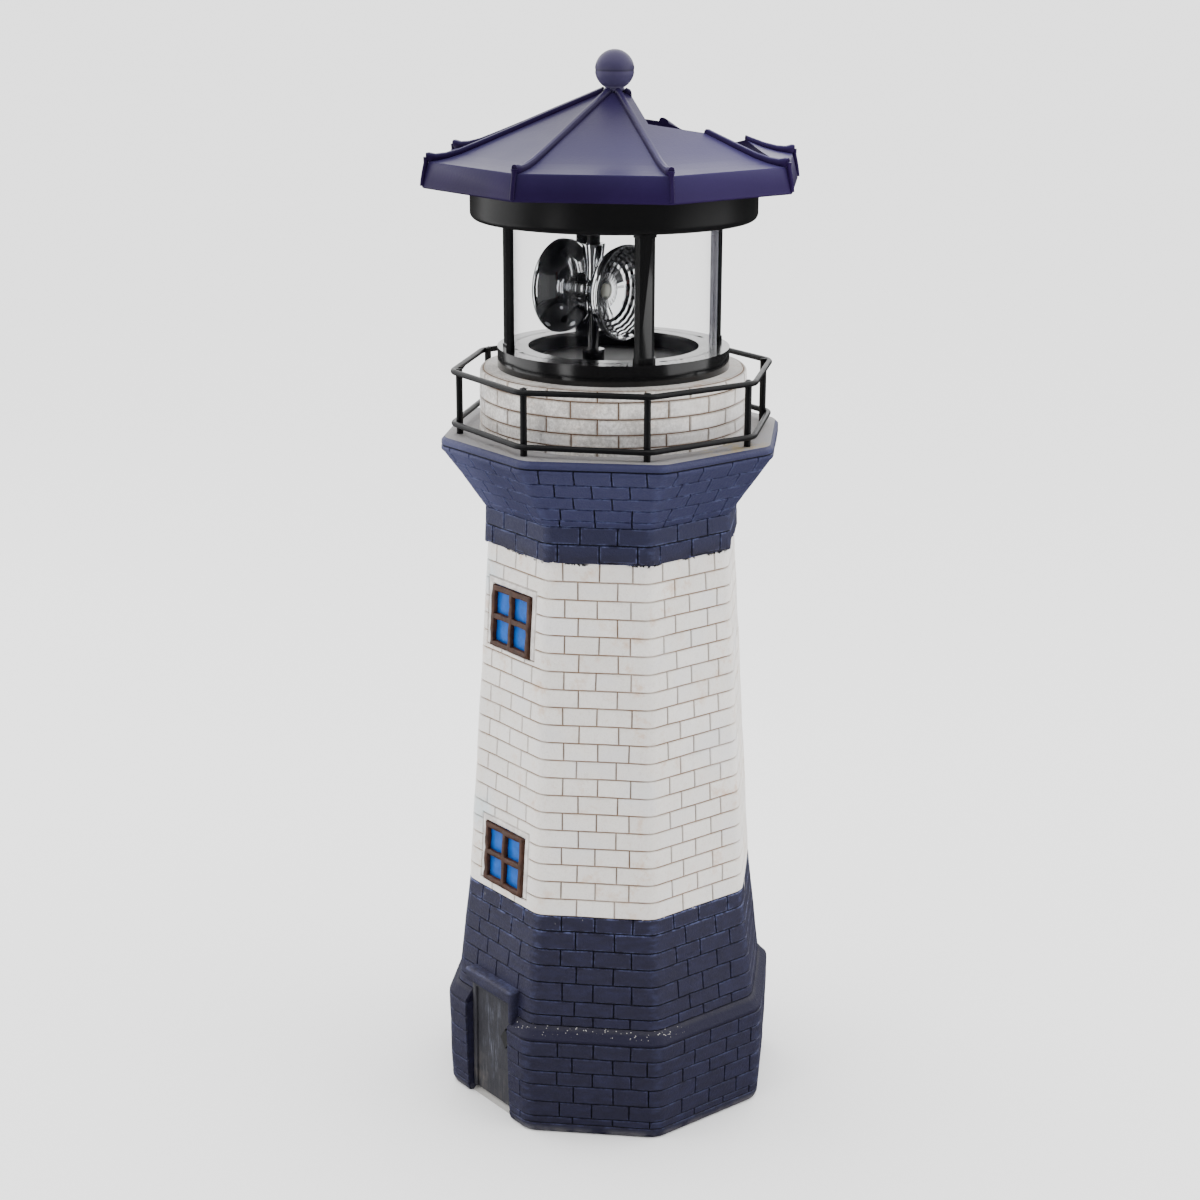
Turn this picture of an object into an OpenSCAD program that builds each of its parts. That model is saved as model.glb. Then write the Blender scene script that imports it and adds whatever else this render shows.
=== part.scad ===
// Solar garden lighthouse: a hollow cast tower with a lift-off lantern that turns a beacon.
// The origin is the centre of the base on the ground, +Z is up and the door faces -Y.

/* [Tower] */
// Corner radius of the plinth on the ground
plinth_r = 60.6; // [59:0.1:64]
// Corner radius of the plinth at its top edge
plinth_top_r = 61.6; // [60:0.1:64]
// Height of the brick plinth
plinth_h = 36.9; // [34:0.1:40]
// Height of the sloping ledge on the plinth
ledge_h = 3.4; // [2:0.1:5]
// Corner radius where the shaft leaves the ledge
shaft_low_r = 57.8; // [57:0.1:59]
// Height of the navy part of the shaft
navy_h = 39.9; // [36:0.1:43]
// Corner radius where navy brick changes to white
shaft_mid_r = 53.0; // [52:0.1:55]
// Height of the white part of the shaft
white_h = 124.7; // [118:0.1:128]
// Corner radius at the top of the white brick
shaft_top_r = 44.7; // [44:0.1:46]
// Step from the white brick out to the navy band
band_step = 1.0; // [0.4:0.1:1.5]
// Height of the navy band
band_h = 12.5; // [10:0.1:14]
// Height of the flaring corbel
corbel_h = 19.1; // [17:0.1:21]
// Corner radius of the gallery
gallery_r = 60.5; // [59:0.1:62]
// Height of the gallery's lip
lip_h = 4.4; // [3:0.1:5]
// Bevel on the gallery's lip
lip_bevel = 0.9; // [0.4:0.1:1.3]
// Radius of the white drum at the gallery floor
drum_low_r = 46.0; // [45:0.1:47]
// Radius of the white drum at its top
drum_top_r = 45.4; // [44.5:0.1:46]
// Height of the white drum
drum_h = 21.6; // [20:0.1:23]
// Wall of the casting, measured at the corners
tower_wall = 5.5; // [4.5:0.1:6.2]
// Radius of the bore that the lantern drops into
neck_bore_r = 36.0; // [36:0.1:37]

/* [Door and windows] */
// Width of the door surround left of the doorway
surround_left = 0.6; // [0.5:0.1:2]
// Width of the door surround right of the doorway
surround_right = 2.3; // [1.5:0.1:3.5]
// Height of the door surround
surround_h = 50; // [48:0.5:52]
// How far the surround's face lies behind the plinth's edge
surround_in = 0.5; // [0.2:0.1:1.5]
// Width of the doorway
doorway_w = 24.5; // [21:0.5:26]
// Height of the doorway
doorway_h = 45; // [42:0.5:47]
// Depth of the doorway behind the plinth's edge
doorway_depth = 5.4; // [4.5:0.1:5.8]
// Thickness of the door leaf
door_t = 1.4; // [1:0.1:2]
// Thickness of the door's raised frame
door_frame_t = 0.9; // [0.5:0.1:1.2]
// Height of the doorstep
doorstep_h = 2.0; // [1:0.1:4]
// Width of the door's diamond-shaped latch plate
latch_w = 5.2; // [3:0.1:6]
// Height of the latch plate
latch_h = 7.8; // [5:0.1:9]
// Thickness of the latch plate
latch_t = 0.5; // [0.3:0.1:0.8]
// Height of the latch's middle above the ground
latch_z = 28.6; // [20:0.1:34]
// How far the plaster around a window stands out from the brick
plaster_proud = 0.4; // [0.2:0.1:0.6]
// Width of the plaster around a window
plaster_w = 2.4; // [1.5:0.1:3]
// Width of a window frame
window_w = 22; // [19:0.1:23]
// Height of a window frame
window_h = 21.5; // [19:0.1:23]
// Width of a window's bars
window_bar = 2.4; // [1.8:0.1:3]
// Depth of the pocket behind a window
window_pocket = 1.4; // [1.2:0.1:2]
// How far a window frame stands out from the wall
window_proud = 1.1; // [0.6:0.1:1.6]
// Thickness of a window pane
pane_t = 0.8; // [0.5:0.1:1]
// Gap around a window in its pocket
window_gap = 0.1; // [0.05:0.05:0.2]
// Height of the lower window's centre
low_window_z = 93.9; // [92.5:0.1:98]
// Height of the upper window's centre
high_window_z = 179.4; // [170:0.1:186]
// Sideways place of the lower window
low_window_x = 0.5; // [-2:0.1:2]
// Sideways place of the upper window
high_window_x = -1.3; // [-2:0.1:2]

/* [Railing] */
// Corner radius of the rails
rail_r = 55.3; // [54.6:0.1:56]
// Radius of the rail wire
rail_wire_r = 1.0; // [0.8:0.05:1.2]
// Radius of the railing posts
rail_post_r = 1.15; // [1:0.05:1.3]
// Height of the bottom rail over the gallery floor
low_rail_z = 3.9; // [2.5:0.1:5]
// Height of the top rail over the gallery floor
top_rail_z = 21.8; // [18:0.1:24]
// How far the posts stand above the top rail
post_over = 0.9; // [0:0.1:2]
// Depth of the holes that hold the posts
post_depth = 3.0; // [2:0.1:4]
// Gap between the posts and the rails that they carry
rail_gap = 0.1; // [0.05:0.05:0.3]
// Turn of the hand-fitted railing on the gallery
rail_turn = -4.1; // [-6:0.1:6]

/* [Lantern] */
// Radius of the base ring
ring_r = 39.4; // [39:0.1:41]
// Height of the base ring
ring_h = 7.4; // [6.5:0.1:8]
// Radius of the dark opening in the base ring
ring_open_r = 29.0; // [28:0.1:29.5]
// Outer radius of the clear cylinder
glass_r = 35.0; // [34.4:0.1:35]
// Wall of the clear cylinder
glass_wall = 1.5; // [1:0.1:2]
// Height of the clear cylinder
glass_h = 42.8; // [41:0.1:45]
// Width of a lantern post
lamp_post_w = 6.6; // [5.5:0.1:7.5]
// Depth of a lantern post
lamp_post_t = 2.4; // [2.2:0.1:2.8]
// Gap between the glass and the posts
lamp_post_gap = 0.3; // [0.1:0.05:0.5]
// Width added by the feet of the lantern posts
lamp_foot = 0.8; // [0.2:0.1:1.2]
// Height of the feet of the lantern posts
lamp_foot_h = 2.0; // [1:0.1:3]
// Radius of the black upper housing
housing_r = 48.1; // [47:0.1:49]
// Height of the black upper housing below the soffit
housing_h = 12.9; // [11.5:0.1:14]
// Radius of the housing's lower edge
housing_edge_r = 2.4; // [1:0.1:2.5]
// Wall of the upper housing
housing_wall = 2.5; // [2:0.1:2.8]

/* [Roof] */
// Corner radius of the fascia at its lower edge
roof_r = 65.0; // [64:0.1:67]
// Corner radius of the fascia at its top edge
fascia_top_r = 62.9; // [62:0.1:63.6]
// Height of the fascia
fascia_h = 8.5; // [7.5:0.1:9.5]
// Height of the shallow eave above the fascia
eave_h = 4.8; // [4:0.1:5.5]
// Corner radius where the eave meets the steep roof
eave_r = 46.0; // [44:0.1:50]
// Height of the steep roof above the eave
steep_h = 16.5; // [15:0.1:18]
// Corner radius of the flat under the finial
apex_r = 4.2; // [4:0.1:5]
// Wall of the roof moulding
roof_wall = 2.2; // [1.8:0.1:2.5]
// Width of a roof rib
rib_w = 2.5; // [2:0.1:3]
// Height of a roof rib
rib_h = 1.7; // [1.2:0.1:2.2]
// Extra height of a rib where it curls up at the eave
rib_curl = 1.4; // [0.5:0.1:2]
// Thickness of the soffit under the roof
soffit_t = 2.0; // [1.5:0.1:2.5]
// Depth of the soffit inside the fascia
soffit_in = 1.5; // [1:0.1:2]
// Distance of the solar recess from the roof's centre
recess_in = 4.2; // [4:0.1:6]
// Length of the solar recess from the centre outwards
recess_l = 41.8; // [38:0.1:43]
// Width of the solar recess
recess_w = 49.4; // [46:0.1:51]
// Height of the recess floor above the fascia's lower edge
recess_floor = 7.2; // [6.8:0.1:8]
// Thickness of the solar panel
panel_t = 2.0; // [1.5:0.1:2.5]
// Gap around the solar panel
panel_gap = 0.2; // [0.1:0.05:0.5]
// Radius of the finial ball
ball_r = 6.5; // [5.5:0.1:7.5]
// Radius of the finial's neck
finial_neck_r = 3.8; // [3:0.1:4]
// Height of the finial's neck
finial_neck_h = 1.6; // [1:0.1:3]
// Radius of the finial's pin
finial_pin_r = 1.9; // [1.5:0.1:2]
// Length of the finial's pin
finial_pin_l = 8; // [5:0.5:9]

/* [Beacon] */
// Distance of the beacon's axis from the lantern's centre
beacon_off = 6.8; // [5.5:0.1:7.5]
// Direction of the beacon's axis from the centre
beacon_dir = 231.5; // [225:0.5:240]
// Direction that the first reflector points in
beacon_turn = 14.5; // [0:0.5:90]
// Height of the reflectors' centre above the base ring
reflector_z = 19.0; // [18:0.1:22]
// Rim radius of a reflector
rim_r = 16.0; // [14:0.1:16.5]
// Length of a reflector from the axis to its rim
reflector_l = 13.7; // [12:0.1:14]
// Wall of a reflector
reflector_wall = 1.2; // [0.9:0.05:1.4]
// Curve of a reflector's side, 1 for a straight cone and less for a rounder bowl
bowl_curve = 0.55; // [0.5:0.05:0.8]
// Number of steps inside a reflector
reflector_steps = 6; // [4:1:8]
// Outer radius of the reflectors' neck
neck_r = 5.6; // [5.3:0.1:6]
// Bore radius of the reflectors' neck
neck_in_r = 3.9; // [3.6:0.05:4.1]
// Height of the reflectors' neck
neck_h = 15.6; // [14:0.1:17]
// Outer radius of the tube on top of the neck
tube_r = 3.9; // [3.8:0.1:4.5]
// Bore radius of the tube on top of the neck
tube_in_r = 2.9; // [2.8:0.05:3.1]
// Height of the tube on top of the neck
tube_h = 7.5; // [5:0.1:9]
// Radius of the openings between the neck and the reflectors
throat_r = 3.1; // [2.5:0.1:3.3]
// Radius of the collar under the beacon
collar_r = 3.7; // [3.2:0.1:4.5]
// Height of the collar under the beacon
collar_h = 3.8; // [3:0.1:5]
// Radius of the spindle above the collar
spindle_r = 1.9; // [1.7:0.05:2.4]
// Radius of the spindle's shaft
spindle_shaft_r = 1.5; // [1.3:0.05:1.6]
// Radius of the fixed lamp stem
stem_r = 2.2; // [1.8:0.05:2.4]
// Radius of the lamp
led_r = 2.5; // [2:0.05:2.8]

/* [Base cup] */
// Clearance between the cup and the neck bore
cup_gap = 0.5; // [0.4:0.05:0.8]
// Wall of the cup
cup_wall = 2.0; // [1.8:0.1:2.2]
// Depth of the cup below the ring's seat
cup_h = 40.5; // [40:0.1:43]
// Thickness of the floor plate under the beacon
chassis_t = 2.0; // [1.5:0.1:2.2]
// Radius of the circle that the cup's screws stand on
cup_screw_c = 32.0; // [31.8:0.1:32]
// Outer radius of the cup's screw bosses
cup_boss_r = 3.4; // [3.2:0.05:3.4]
// Depth of the cup's screw heads above the cup's underside
cup_head_z = 28; // [26:0.5:29]
// Radius of the screw shanks
screw_r = 1.25; // [1:0.05:1.3]
// Radius of the screw heads
screw_head_r = 2.4; // [2.2:0.05:2.5]
// Height of the screw heads
screw_head_h = 1.4; // [1:0.1:1.6]
// Radial clearance of a screw in its hole
screw_gap = 0.05; // [0.05:0.01:0.1]
// Radius of the battery
battery_r = 7.1; // [6.9:0.05:7.2]
// Length of the battery
battery_l = 50.2; // [49:0.1:50.5]
// Sideways place of the battery
battery_y = 10; // [9.8:0.1:10.5]
// Height of the battery's axis above the cup's underside
battery_z = 10.2; // [10:0.1:11]
// Thickness of the battery door
hatch_t = 1.2; // [1:0.1:1.4]
// Length of the battery door
hatch_l = 60; // [59:0.5:60.5]
// Width of the battery door
hatch_w = 18; // [17.5:0.1:18.5]
// Gap around the battery door
hatch_gap = 0.3; // [0.2:0.05:0.4]
// Travel of the power switch
switch_travel = 3.0; // [2:0.1:3.5]

/* [Gear train] */
// Gear module
gear_m = 0.5; // [0.48:0.01:0.52]
// Teeth of both small gears
small_teeth = 12; // [12:1:12]
// Teeth of both large gears
large_teeth = 30; // [30:1:30]
// Pressure angle of the teeth
pressure_angle = 25; // [22:1:27]
// Backlash taken from each tooth
tooth_backlash = 0.12; // [0.08:0.01:0.16]
// Width of a gear's face
gear_w = 2.6; // [2:0.1:3]
// Direction from the beacon's axis to the idler
idler_dir = -60; // [-62:1:-56]
// Direction from the idler to the motor
motor_dir = -20; // [-24:1:-16]
// Radius of the motor's case
motor_r = 6.0; // [5:0.1:6.1]
// Height of the motor's case
motor_h = 15; // [12:0.5:15]
// Radius of the motor's shaft
motor_shaft_r = 0.75; // [0.6:0.05:1]
// Running clearance of shafts in their bearings
run_gap = 0.05; // [0.02:0.01:0.08]
// Thickness of the gearbox plate
gearbox_t = 2.0; // [1.5:0.1:2.5]

/* [Hidden] */
$fn = 64;

navy = "#31356a";
white = "#d9d7d4";
black = "#1b1b1d";
roof_blue = "#3d3a78";
chrome = "#c9ccd2";
steel = "#9a9ca0";

over = 1;                       // how far a cut runs past the face it opens
corner_turn = 22.5;             // turn that sets a flat of the octagon to the front
flat = cos(22.5);               // an octagon's flat lies this share of its corner radius out

// Heights of the tower's rings
ledge_z = plinth_h;
shaft_z = ledge_z + ledge_h;
white_z = shaft_z + navy_h;
band_z = white_z + white_h;
corbel_z = band_z + band_h;
gallery_z = corbel_z + corbel_h + lip_h;
drum_z = gallery_z + drum_h;
band_r = shaft_top_r + band_step;
paint_step = 0.05;              // the white brick lies this far inside the navy
shaft_lean = atan((shaft_mid_r - shaft_top_r) * flat / white_h);

surround_y = plinth_top_r * flat - surround_in;    // the surround's face
door_y = plinth_top_r * flat - doorway_depth;      // the back of the doorway

// Heights of the lantern
seat_z = drum_z;
chassis_top = seat_z + chassis_t;
glass_z = seat_z + ring_h;
housing_z = glass_z + glass_h;
roof_z = housing_z + housing_h - soffit_in;
soffit_z = roof_z + soffit_in;
fascia_z = roof_z + fascia_h;
steep_z = fascia_z + eave_h;
apex_z = steep_z + steep_h;
recess_z = roof_z + recess_floor;
recess_dir = 67.5;
roof_pocket_r = roof_r - roof_wall - 0.2;
soffit_gap = 0.3;
soffit_r = roof_pocket_r - 1 - soffit_gap;
roof_boss_c = 52;
roof_boss_r = 3.2;
roof_boss_turns = [0, 112.5, 180, 292.5];

// Heights of the base cup
cup_r = neck_bore_r - cup_gap;
cup_in_r = cup_r - cup_wall;
cup_z = seat_z - cup_h;
cup_floor = cup_z + cup_wall;
cup_screw_turns = [60, 120, 230, 310];
cup_screw_top = glass_z - 1.6;
battery_axis = cup_z + battery_z;
contact_t = 0.4;
contact_w = 8;
contact_over = 3.4;
contact_gap = 1.6;
contact_clear = 0.1;
hatch_x = 1;
hatch_lap = 1.5;
hatch_rim = 1;
hatch_screw_x = hatch_x + hatch_l / 2 - 2.4;
hatch_boss_r = 2.3;
hatch_boss_h = 5;
hatch_screw_h = 5.2;

// The beacon, its idler and its motor
beacon = beacon_off * [cos(beacon_dir), sin(beacon_dir)];
gear_step = gear_m * (small_teeth + large_teeth) / 2;
idler = beacon + gear_step * [cos(idler_dir), sin(idler_dir)];
motor = idler + gear_step * [cos(motor_dir), sin(motor_dir)];
reflector_mid = glass_z + reflector_z;
gear_gap = 0.8;
output_z = seat_z - gear_gap - 2.2 - gear_w;
first_z = output_z - gear_gap - gear_w;
gearbox_z = first_z - gear_gap - gearbox_t;
gearbox_r = 23;
gearbox_mid = (beacon + motor) / 2;
pillar_r = 2.4;
pillar_screw_h = 6;
pillars = [[-16, -18], [-12.5, 2.5], [14.5, -5.5]];
idler_pin_r = motor_shaft_r;
lead_r = 0.6;
lead_hole = 0.9;
lead_dir = 337.5;
lead_in_r = 31.4;
lead_channel_h = 2.6;
panel_lead_u = 17;
chip = [6, 5, 1.8];
chip_at = [-14, -3];
capacitor_r = 2.5;
capacitor_h = 5;
capacitor_at = [8, -9];
board_l = 40;
board_w = 36;
board_t = 1.6;
board_lift = 1.8;
board_mid = [0, 3];
board_z = housing_z + housing_wall + board_lift;

// Switch on the underside of the cup, under the front lantern post's lead
switch_at = [22.5, -8.6];
switch_l = 11;
switch_w = 5.6;
switch_h = 5;
knob_l = 3.6;
knob_w = 3;
knob_out = 2;

// ---------- shared shapes ----------

// A solid with eight sides from a list of corner radii and heights, bottom first
module octa(rings) {
    last = len(rings) - 1;
    rotate(corner_turn)
        rotate_extrude($fn = 8)
            polygon(concat([[0, rings[0][1]]], rings, [[0, rings[last][1]]]));
}

// A tube between two heights
module tube(r_out, r_in, z1, z2) {
    translate([0, 0, z1])
        difference() {
            cylinder(h = z2 - z1, r = r_out);
            translate([0, 0, -over])
                cylinder(h = z2 - z1 + 2 * over, r = r_in);
        }
}

// A straight eight-sided lead between two points, with round ends
module lead(a, b, r) {
    d = b - a;
    translate(a) {
        rotate([0, acos(d[2] / norm(d)), atan2(d[1], d[0])])
            cylinder(h = norm(d), r = r, $fn = 8);
        sphere(r = r, $fn = 8);
    }
    translate(b)
        sphere(r = r, $fn = 8);
}

function polar(r, a) = [r * cos(a), r * sin(a)];
function at_height(p, z) = [p[0], p[1], z];
function between(a, b, t) = a + (b - a) * t;

// Corner radius of the white shaft at a height
function shaft_r(z) = between(shaft_mid_r, shaft_top_r, (z - white_z) / white_h);

// ---------- tower ----------

module tower_outside() {
    color(navy) {
        octa([
            [plinth_r, 0],
            [plinth_top_r, ledge_z],
            [shaft_low_r, shaft_z],
            [shaft_mid_r, white_z]
        ]);
        translate([-doorway_w / 2 - surround_left, -surround_y, 0])
            cube([
                doorway_w + surround_left + surround_right,
                surround_y - shaft_low_r * flat + tower_wall,
                surround_h
            ]);
    }
    color(white)
        at_windows()
            translate([0, plaster_w / 2, -1])
                linear_extrude(1 + plaster_proud)
                    square([window_w + 2 * plaster_w, window_h + plaster_w], center = true);
    color(white)
        octa([
            [shaft_mid_r - 0.5, white_z - 2],
            [shaft_mid_r - paint_step, white_z],
            [shaft_top_r, band_z],
            [shaft_top_r, band_z + 2]
        ]);
    color(navy)
        octa([
            [band_r + 0.2, band_z],
            [band_r - 0.2, corbel_z],
            [band_r - 0.8, corbel_z + 0.3],
            [gallery_r - lip_bevel, gallery_z - lip_h],
            [gallery_r, gallery_z - lip_h + lip_bevel],
            [gallery_r, gallery_z - lip_bevel],
            [gallery_r - lip_bevel, gallery_z]
        ]);
    color(white)
        translate([0, 0, gallery_z - 1])
            cylinder(h = drum_h + 1, r1 = drum_low_r, r2 = drum_top_r);
}

// The hollow inside the casting, open at the ground
module tower_hollow() {
    slab_z = gallery_z - tower_wall;
    octa([
        [shaft_low_r - tower_wall, -over],
        [shaft_low_r - tower_wall, shaft_z],
        [shaft_mid_r - tower_wall, white_z],
        [shaft_top_r - tower_wall, band_z],
        [shaft_top_r - tower_wall, corbel_z],
        [shaft_top_r + 2, slab_z]
    ]);
    translate([0, 0, slab_z - over])
        cylinder(h = drum_z - slab_z + 2 * over, r = neck_bore_r);
}

// Places its children on the door side of the white shaft, leaning with the wall
module on_wall(x, z) {
    translate([x, -shaft_r(z) * flat, z])
        rotate([-shaft_lean, 0, 0])
            rotate([90, 0, 0])
                children();
}

module at_windows() {
    on_wall(low_window_x, low_window_z) children();
    on_wall(high_window_x, high_window_z) children();
}

module post_spots() {
    for (i = [0:7])
        rotate(corner_turn + rail_turn + 45 * i)
            translate([rail_r - rail_wire_r - (rail_post_r + rail_gap) / flat, 0, gallery_z])
                children();
}

module tower_body() {
    difference() {
        tower_outside();
        color(white) tower_hollow();
        color(navy)
            translate([-doorway_w / 2, -door_y - doorway_depth - over, doorstep_h])
                cube([doorway_w, doorway_depth + over, doorway_h - doorstep_h]);
        color(white)
            at_windows()
                translate([0, 0, -window_pocket])
                    linear_extrude(window_pocket + 4)
                        square([window_w + 2 * window_gap, window_h + 2 * window_gap], center = true);
        color(navy)
            post_spots()
                translate([0, 0, -post_depth])
                    cylinder(h = post_depth + over, r = rail_post_r + run_gap, $fn = 24);
    }
}

// The slate leaf with its raised frame and its latch
module door_leaf() {
    leaf_w = doorway_w - 2 * window_gap;
    leaf_h = doorway_h - doorstep_h - 2 * window_gap;
    leaf_z = doorstep_h + window_gap;
    color("#4a4a4e")
        translate([-leaf_w / 2, -door_y - door_t, leaf_z])
            cube([leaf_w, door_t, leaf_h]);
    color("#3c3c42")
        translate([0, -door_y - door_t, leaf_z])
            rotate([90, 0, 0])
                linear_extrude(door_frame_t)
                    difference() {
                        translate([-leaf_w / 2, 0])
                            square([leaf_w, leaf_h]);
                        translate([-leaf_w / 2 + window_bar, -over])
                            square([leaf_w - 2 * window_bar, leaf_h - window_bar + over]);
                    }
    color(black)
        translate([leaf_w / 2 - window_bar - latch_w / 2 + 0.3, -door_y - door_t + 0.2, latch_z])
            rotate([90, 0, 0])
                linear_extrude(latch_t + 0.2)
                    polygon([[-latch_w / 2, 0], [0, -latch_h / 2], [latch_w / 2, 0], [0, latch_h / 2]]);
}

module window_frames() {
    pane_w = (window_w - 3 * window_bar) / 2;
    pane_h = (window_h - 3 * window_bar) / 2;
    color("#4a2e25")
        at_windows()
            translate([0, 0, pane_t - window_pocket])
                linear_extrude(window_pocket - pane_t + window_proud)
                    difference() {
                        square([window_w, window_h], center = true);
                        for (x = [-1, 1], y = [-1, 1])
                            translate([x * (pane_w + window_bar) / 2, y * (pane_h + window_bar) / 2])
                                square([pane_w, pane_h], center = true);
                    }
}

module window_panes() {
    color("#1a66cc")
        at_windows()
            translate([0, 0, -window_pocket])
                linear_extrude(pane_t)
                    square([window_w, window_h], center = true);
}

// ---------- railing ----------

// An octagon of bent wire
module rail_ring(z) {
    translate([0, 0, z])
        rotate(corner_turn + rail_turn)
            rotate_extrude($fn = 8)
                translate([rail_r, 0])
                    circle(r = rail_wire_r, $fn = 16);
}

module railing_top_rail() {
    color(black) rail_ring(gallery_z + top_rail_z);
}

module railing_bottom_rail() {
    color(black) rail_ring(gallery_z + low_rail_z);
}

module railing_posts() {
    color(black)
        post_spots()
            translate([0, 0, -post_depth])
                cylinder(h = post_depth + top_rail_z + post_over, r = rail_post_r, $fn = 24);
}

// ---------- lantern ----------

// Outline of a lantern post, chamfered on its outer edges
module post_outline(w, t) {
    inner = glass_r + lamp_post_gap;
    chamfer = 1.2;
    polygon([
        [inner, -w / 2],
        [inner + t - chamfer, -w / 2],
        [inner + t, -w / 2 + chamfer],
        [inner + t, w / 2 - chamfer],
        [inner + t - chamfer, w / 2],
        [inner, w / 2]
    ]);
}

module lantern_post() {
    root = 0.5;
    translate([0, 0, glass_z - root])
        linear_extrude(glass_h + root)
            post_outline(lamp_post_w, lamp_post_t);
    translate([0, 0, glass_z - root])
        linear_extrude(lamp_foot_h + root)
            post_outline(lamp_post_w + lamp_foot, lamp_post_t + lamp_foot / 3);
    translate([0, 0, housing_z - lamp_foot_h])
        linear_extrude(lamp_foot_h)
            post_outline(lamp_post_w + lamp_foot, lamp_post_t + lamp_foot / 3);
}

// The straight runs of the lead that climbs inside the front post
lead_out_r = glass_r + lamp_post_gap + lead_r + 0.1;
lead_turn_z = chassis_top + 1.4;

module lead_channel(r) {
    rotate(lead_dir) {
        translate([lead_out_r, 0, lead_turn_z - r])
            cylinder(h = housing_z - lead_turn_z + over, r = r, $fn = 24);
        translate([lead_in_r - r, -r, chassis_top - over])
            cube([lead_out_r - lead_in_r + r, 2 * r, lead_channel_h + over]);
    }
}

module lantern_frame() {
    color(black)
        difference() {
            union() {
                translate([0, 0, seat_z])
                    cylinder(h = ring_h, r = ring_r);
                for (i = [0:3])
                    rotate(recess_dir + 90 * i)
                        lantern_post();
            }
            translate([0, 0, seat_z - over])
                cylinder(h = ring_h + 2 * over, r = ring_open_r);
            translate([0, 0, seat_z - over])
                cylinder(h = chassis_t + over, r = cup_r + 0.8);
            for (a = cup_screw_turns)
                rotate(a)
                    translate([cup_screw_c, 0, chassis_top - over])
                        cylinder(h = cup_screw_top - chassis_top + over, r = screw_r + screw_gap);
            lead_channel(lead_hole);
        }
}

module lantern_glass() {
    color("#e4e2f5", 0.25)
        tube(glass_r, glass_r - glass_wall, glass_z, housing_z);
}

module upper_housing() {
    e = housing_edge_r;
    color(black)
        difference() {
            union() {
                translate([0, 0, housing_z])
                    rotate_extrude() {
                        translate([0, 0]) square([housing_r - e, e]);
                        translate([0, e]) square([housing_r, soffit_z - housing_z - e + soffit_t]);
                        intersection() {
                            translate([housing_r - e, e]) circle(r = e);
                            translate([housing_r - e, 0]) square([e, e]);
                        }
                    }
                octa([[soffit_r, soffit_z], [soffit_r, soffit_z + soffit_t]]);
            }
            translate([0, 0, housing_z + housing_wall])
                cylinder(h = housing_h + soffit_t + over, r = housing_r - housing_wall);
            translate(at_height(beacon, housing_z - over))
                cylinder(h = housing_wall + 2 * over, r = stem_r + screw_gap);
            rotate(lead_dir)
                translate([lead_out_r, 0, housing_z - over])
                    cylinder(h = housing_wall + 2 * over, r = lead_hole, $fn = 24);
            at_roof_screws()
                translate([0, 0, soffit_z - over])
                    cylinder(h = soffit_t + 2 * over, r = screw_r + screw_gap);
        }
    color(black)
        for (x = [-1, 1], y = [-1, 1])
            translate([board_mid[0] + x * (board_l / 2 - 3), board_mid[1] + y * (board_w / 2 - 3), housing_z + housing_wall])
                cylinder(h = board_lift, r = 2);
}

module at_roof_screws() {
    for (a = roof_boss_turns)
        rotate(a)
            translate([roof_boss_c, 0, 0])
                children();
}

// Radius and height of a rib's top edge, from the apex to the eave
rib_line = [
    [apex_r - 1, apex_z + rib_h * 0.6],
    [eave_r - 3, steep_z + (steep_h / (eave_r - apex_r)) * 3 + rib_h],
    [eave_r + 0.5, steep_z + rib_h * 0.9],
    [between(eave_r, fascia_top_r, 0.30), between(steep_z, fascia_z, 0.36) + rib_h],
    [between(eave_r, fascia_top_r, 0.62), between(steep_z, fascia_z, 0.66) + rib_h + rib_curl * 0.25],
    [between(eave_r, fascia_top_r, 0.85), between(steep_z, fascia_z, 0.88) + rib_h + rib_curl * 0.6],
    [fascia_top_r, fascia_z + rib_h + rib_curl]
];

// One rib with the ridge that runs down the fascia's corner
module rib() {
    rotate([90, 0, 0])
        linear_extrude(rib_w, center = true)
            polygon(concat(
                rib_line,
                [
                    [roof_r, roof_z + 0.4],
                    [roof_r - 2, roof_z + 0.4],
                    [fascia_top_r - 2, fascia_z - 1],
                    [eave_r, steep_z - 1],
                    [apex_r - 1, apex_z - 1]
                ]
            ));
}

module roof_outside() {
    octa([
        [roof_r, roof_z],
        [fascia_top_r, fascia_z],
        [between(fascia_top_r, eave_r, 0.45), between(fascia_z, steep_z, 0.32)],
        [eave_r, steep_z],
        [apex_r, apex_z]
    ]);
    for (i = [0:7])
        rotate(corner_turn + 45 * i)
            rib();
}

module roof_hollow() {
    step = 0.4;
    octa([
        [roof_r - roof_wall, roof_z - over],
        [roof_pocket_r - 2, fascia_z - roof_wall],
        [eave_r, steep_z - roof_wall - step],
        [apex_r + 1, apex_z - finial_pin_l - step]
    ]);
}

// The recess that holds the solar panel; grow adds the wall around it
module recess_block(grow) {
    rotate(recess_dir)
        translate([recess_in - grow, -recess_w / 2 - grow, recess_z - grow])
            cube([recess_l + 2 * grow, recess_w + 2 * grow, apex_z]);
}

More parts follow.
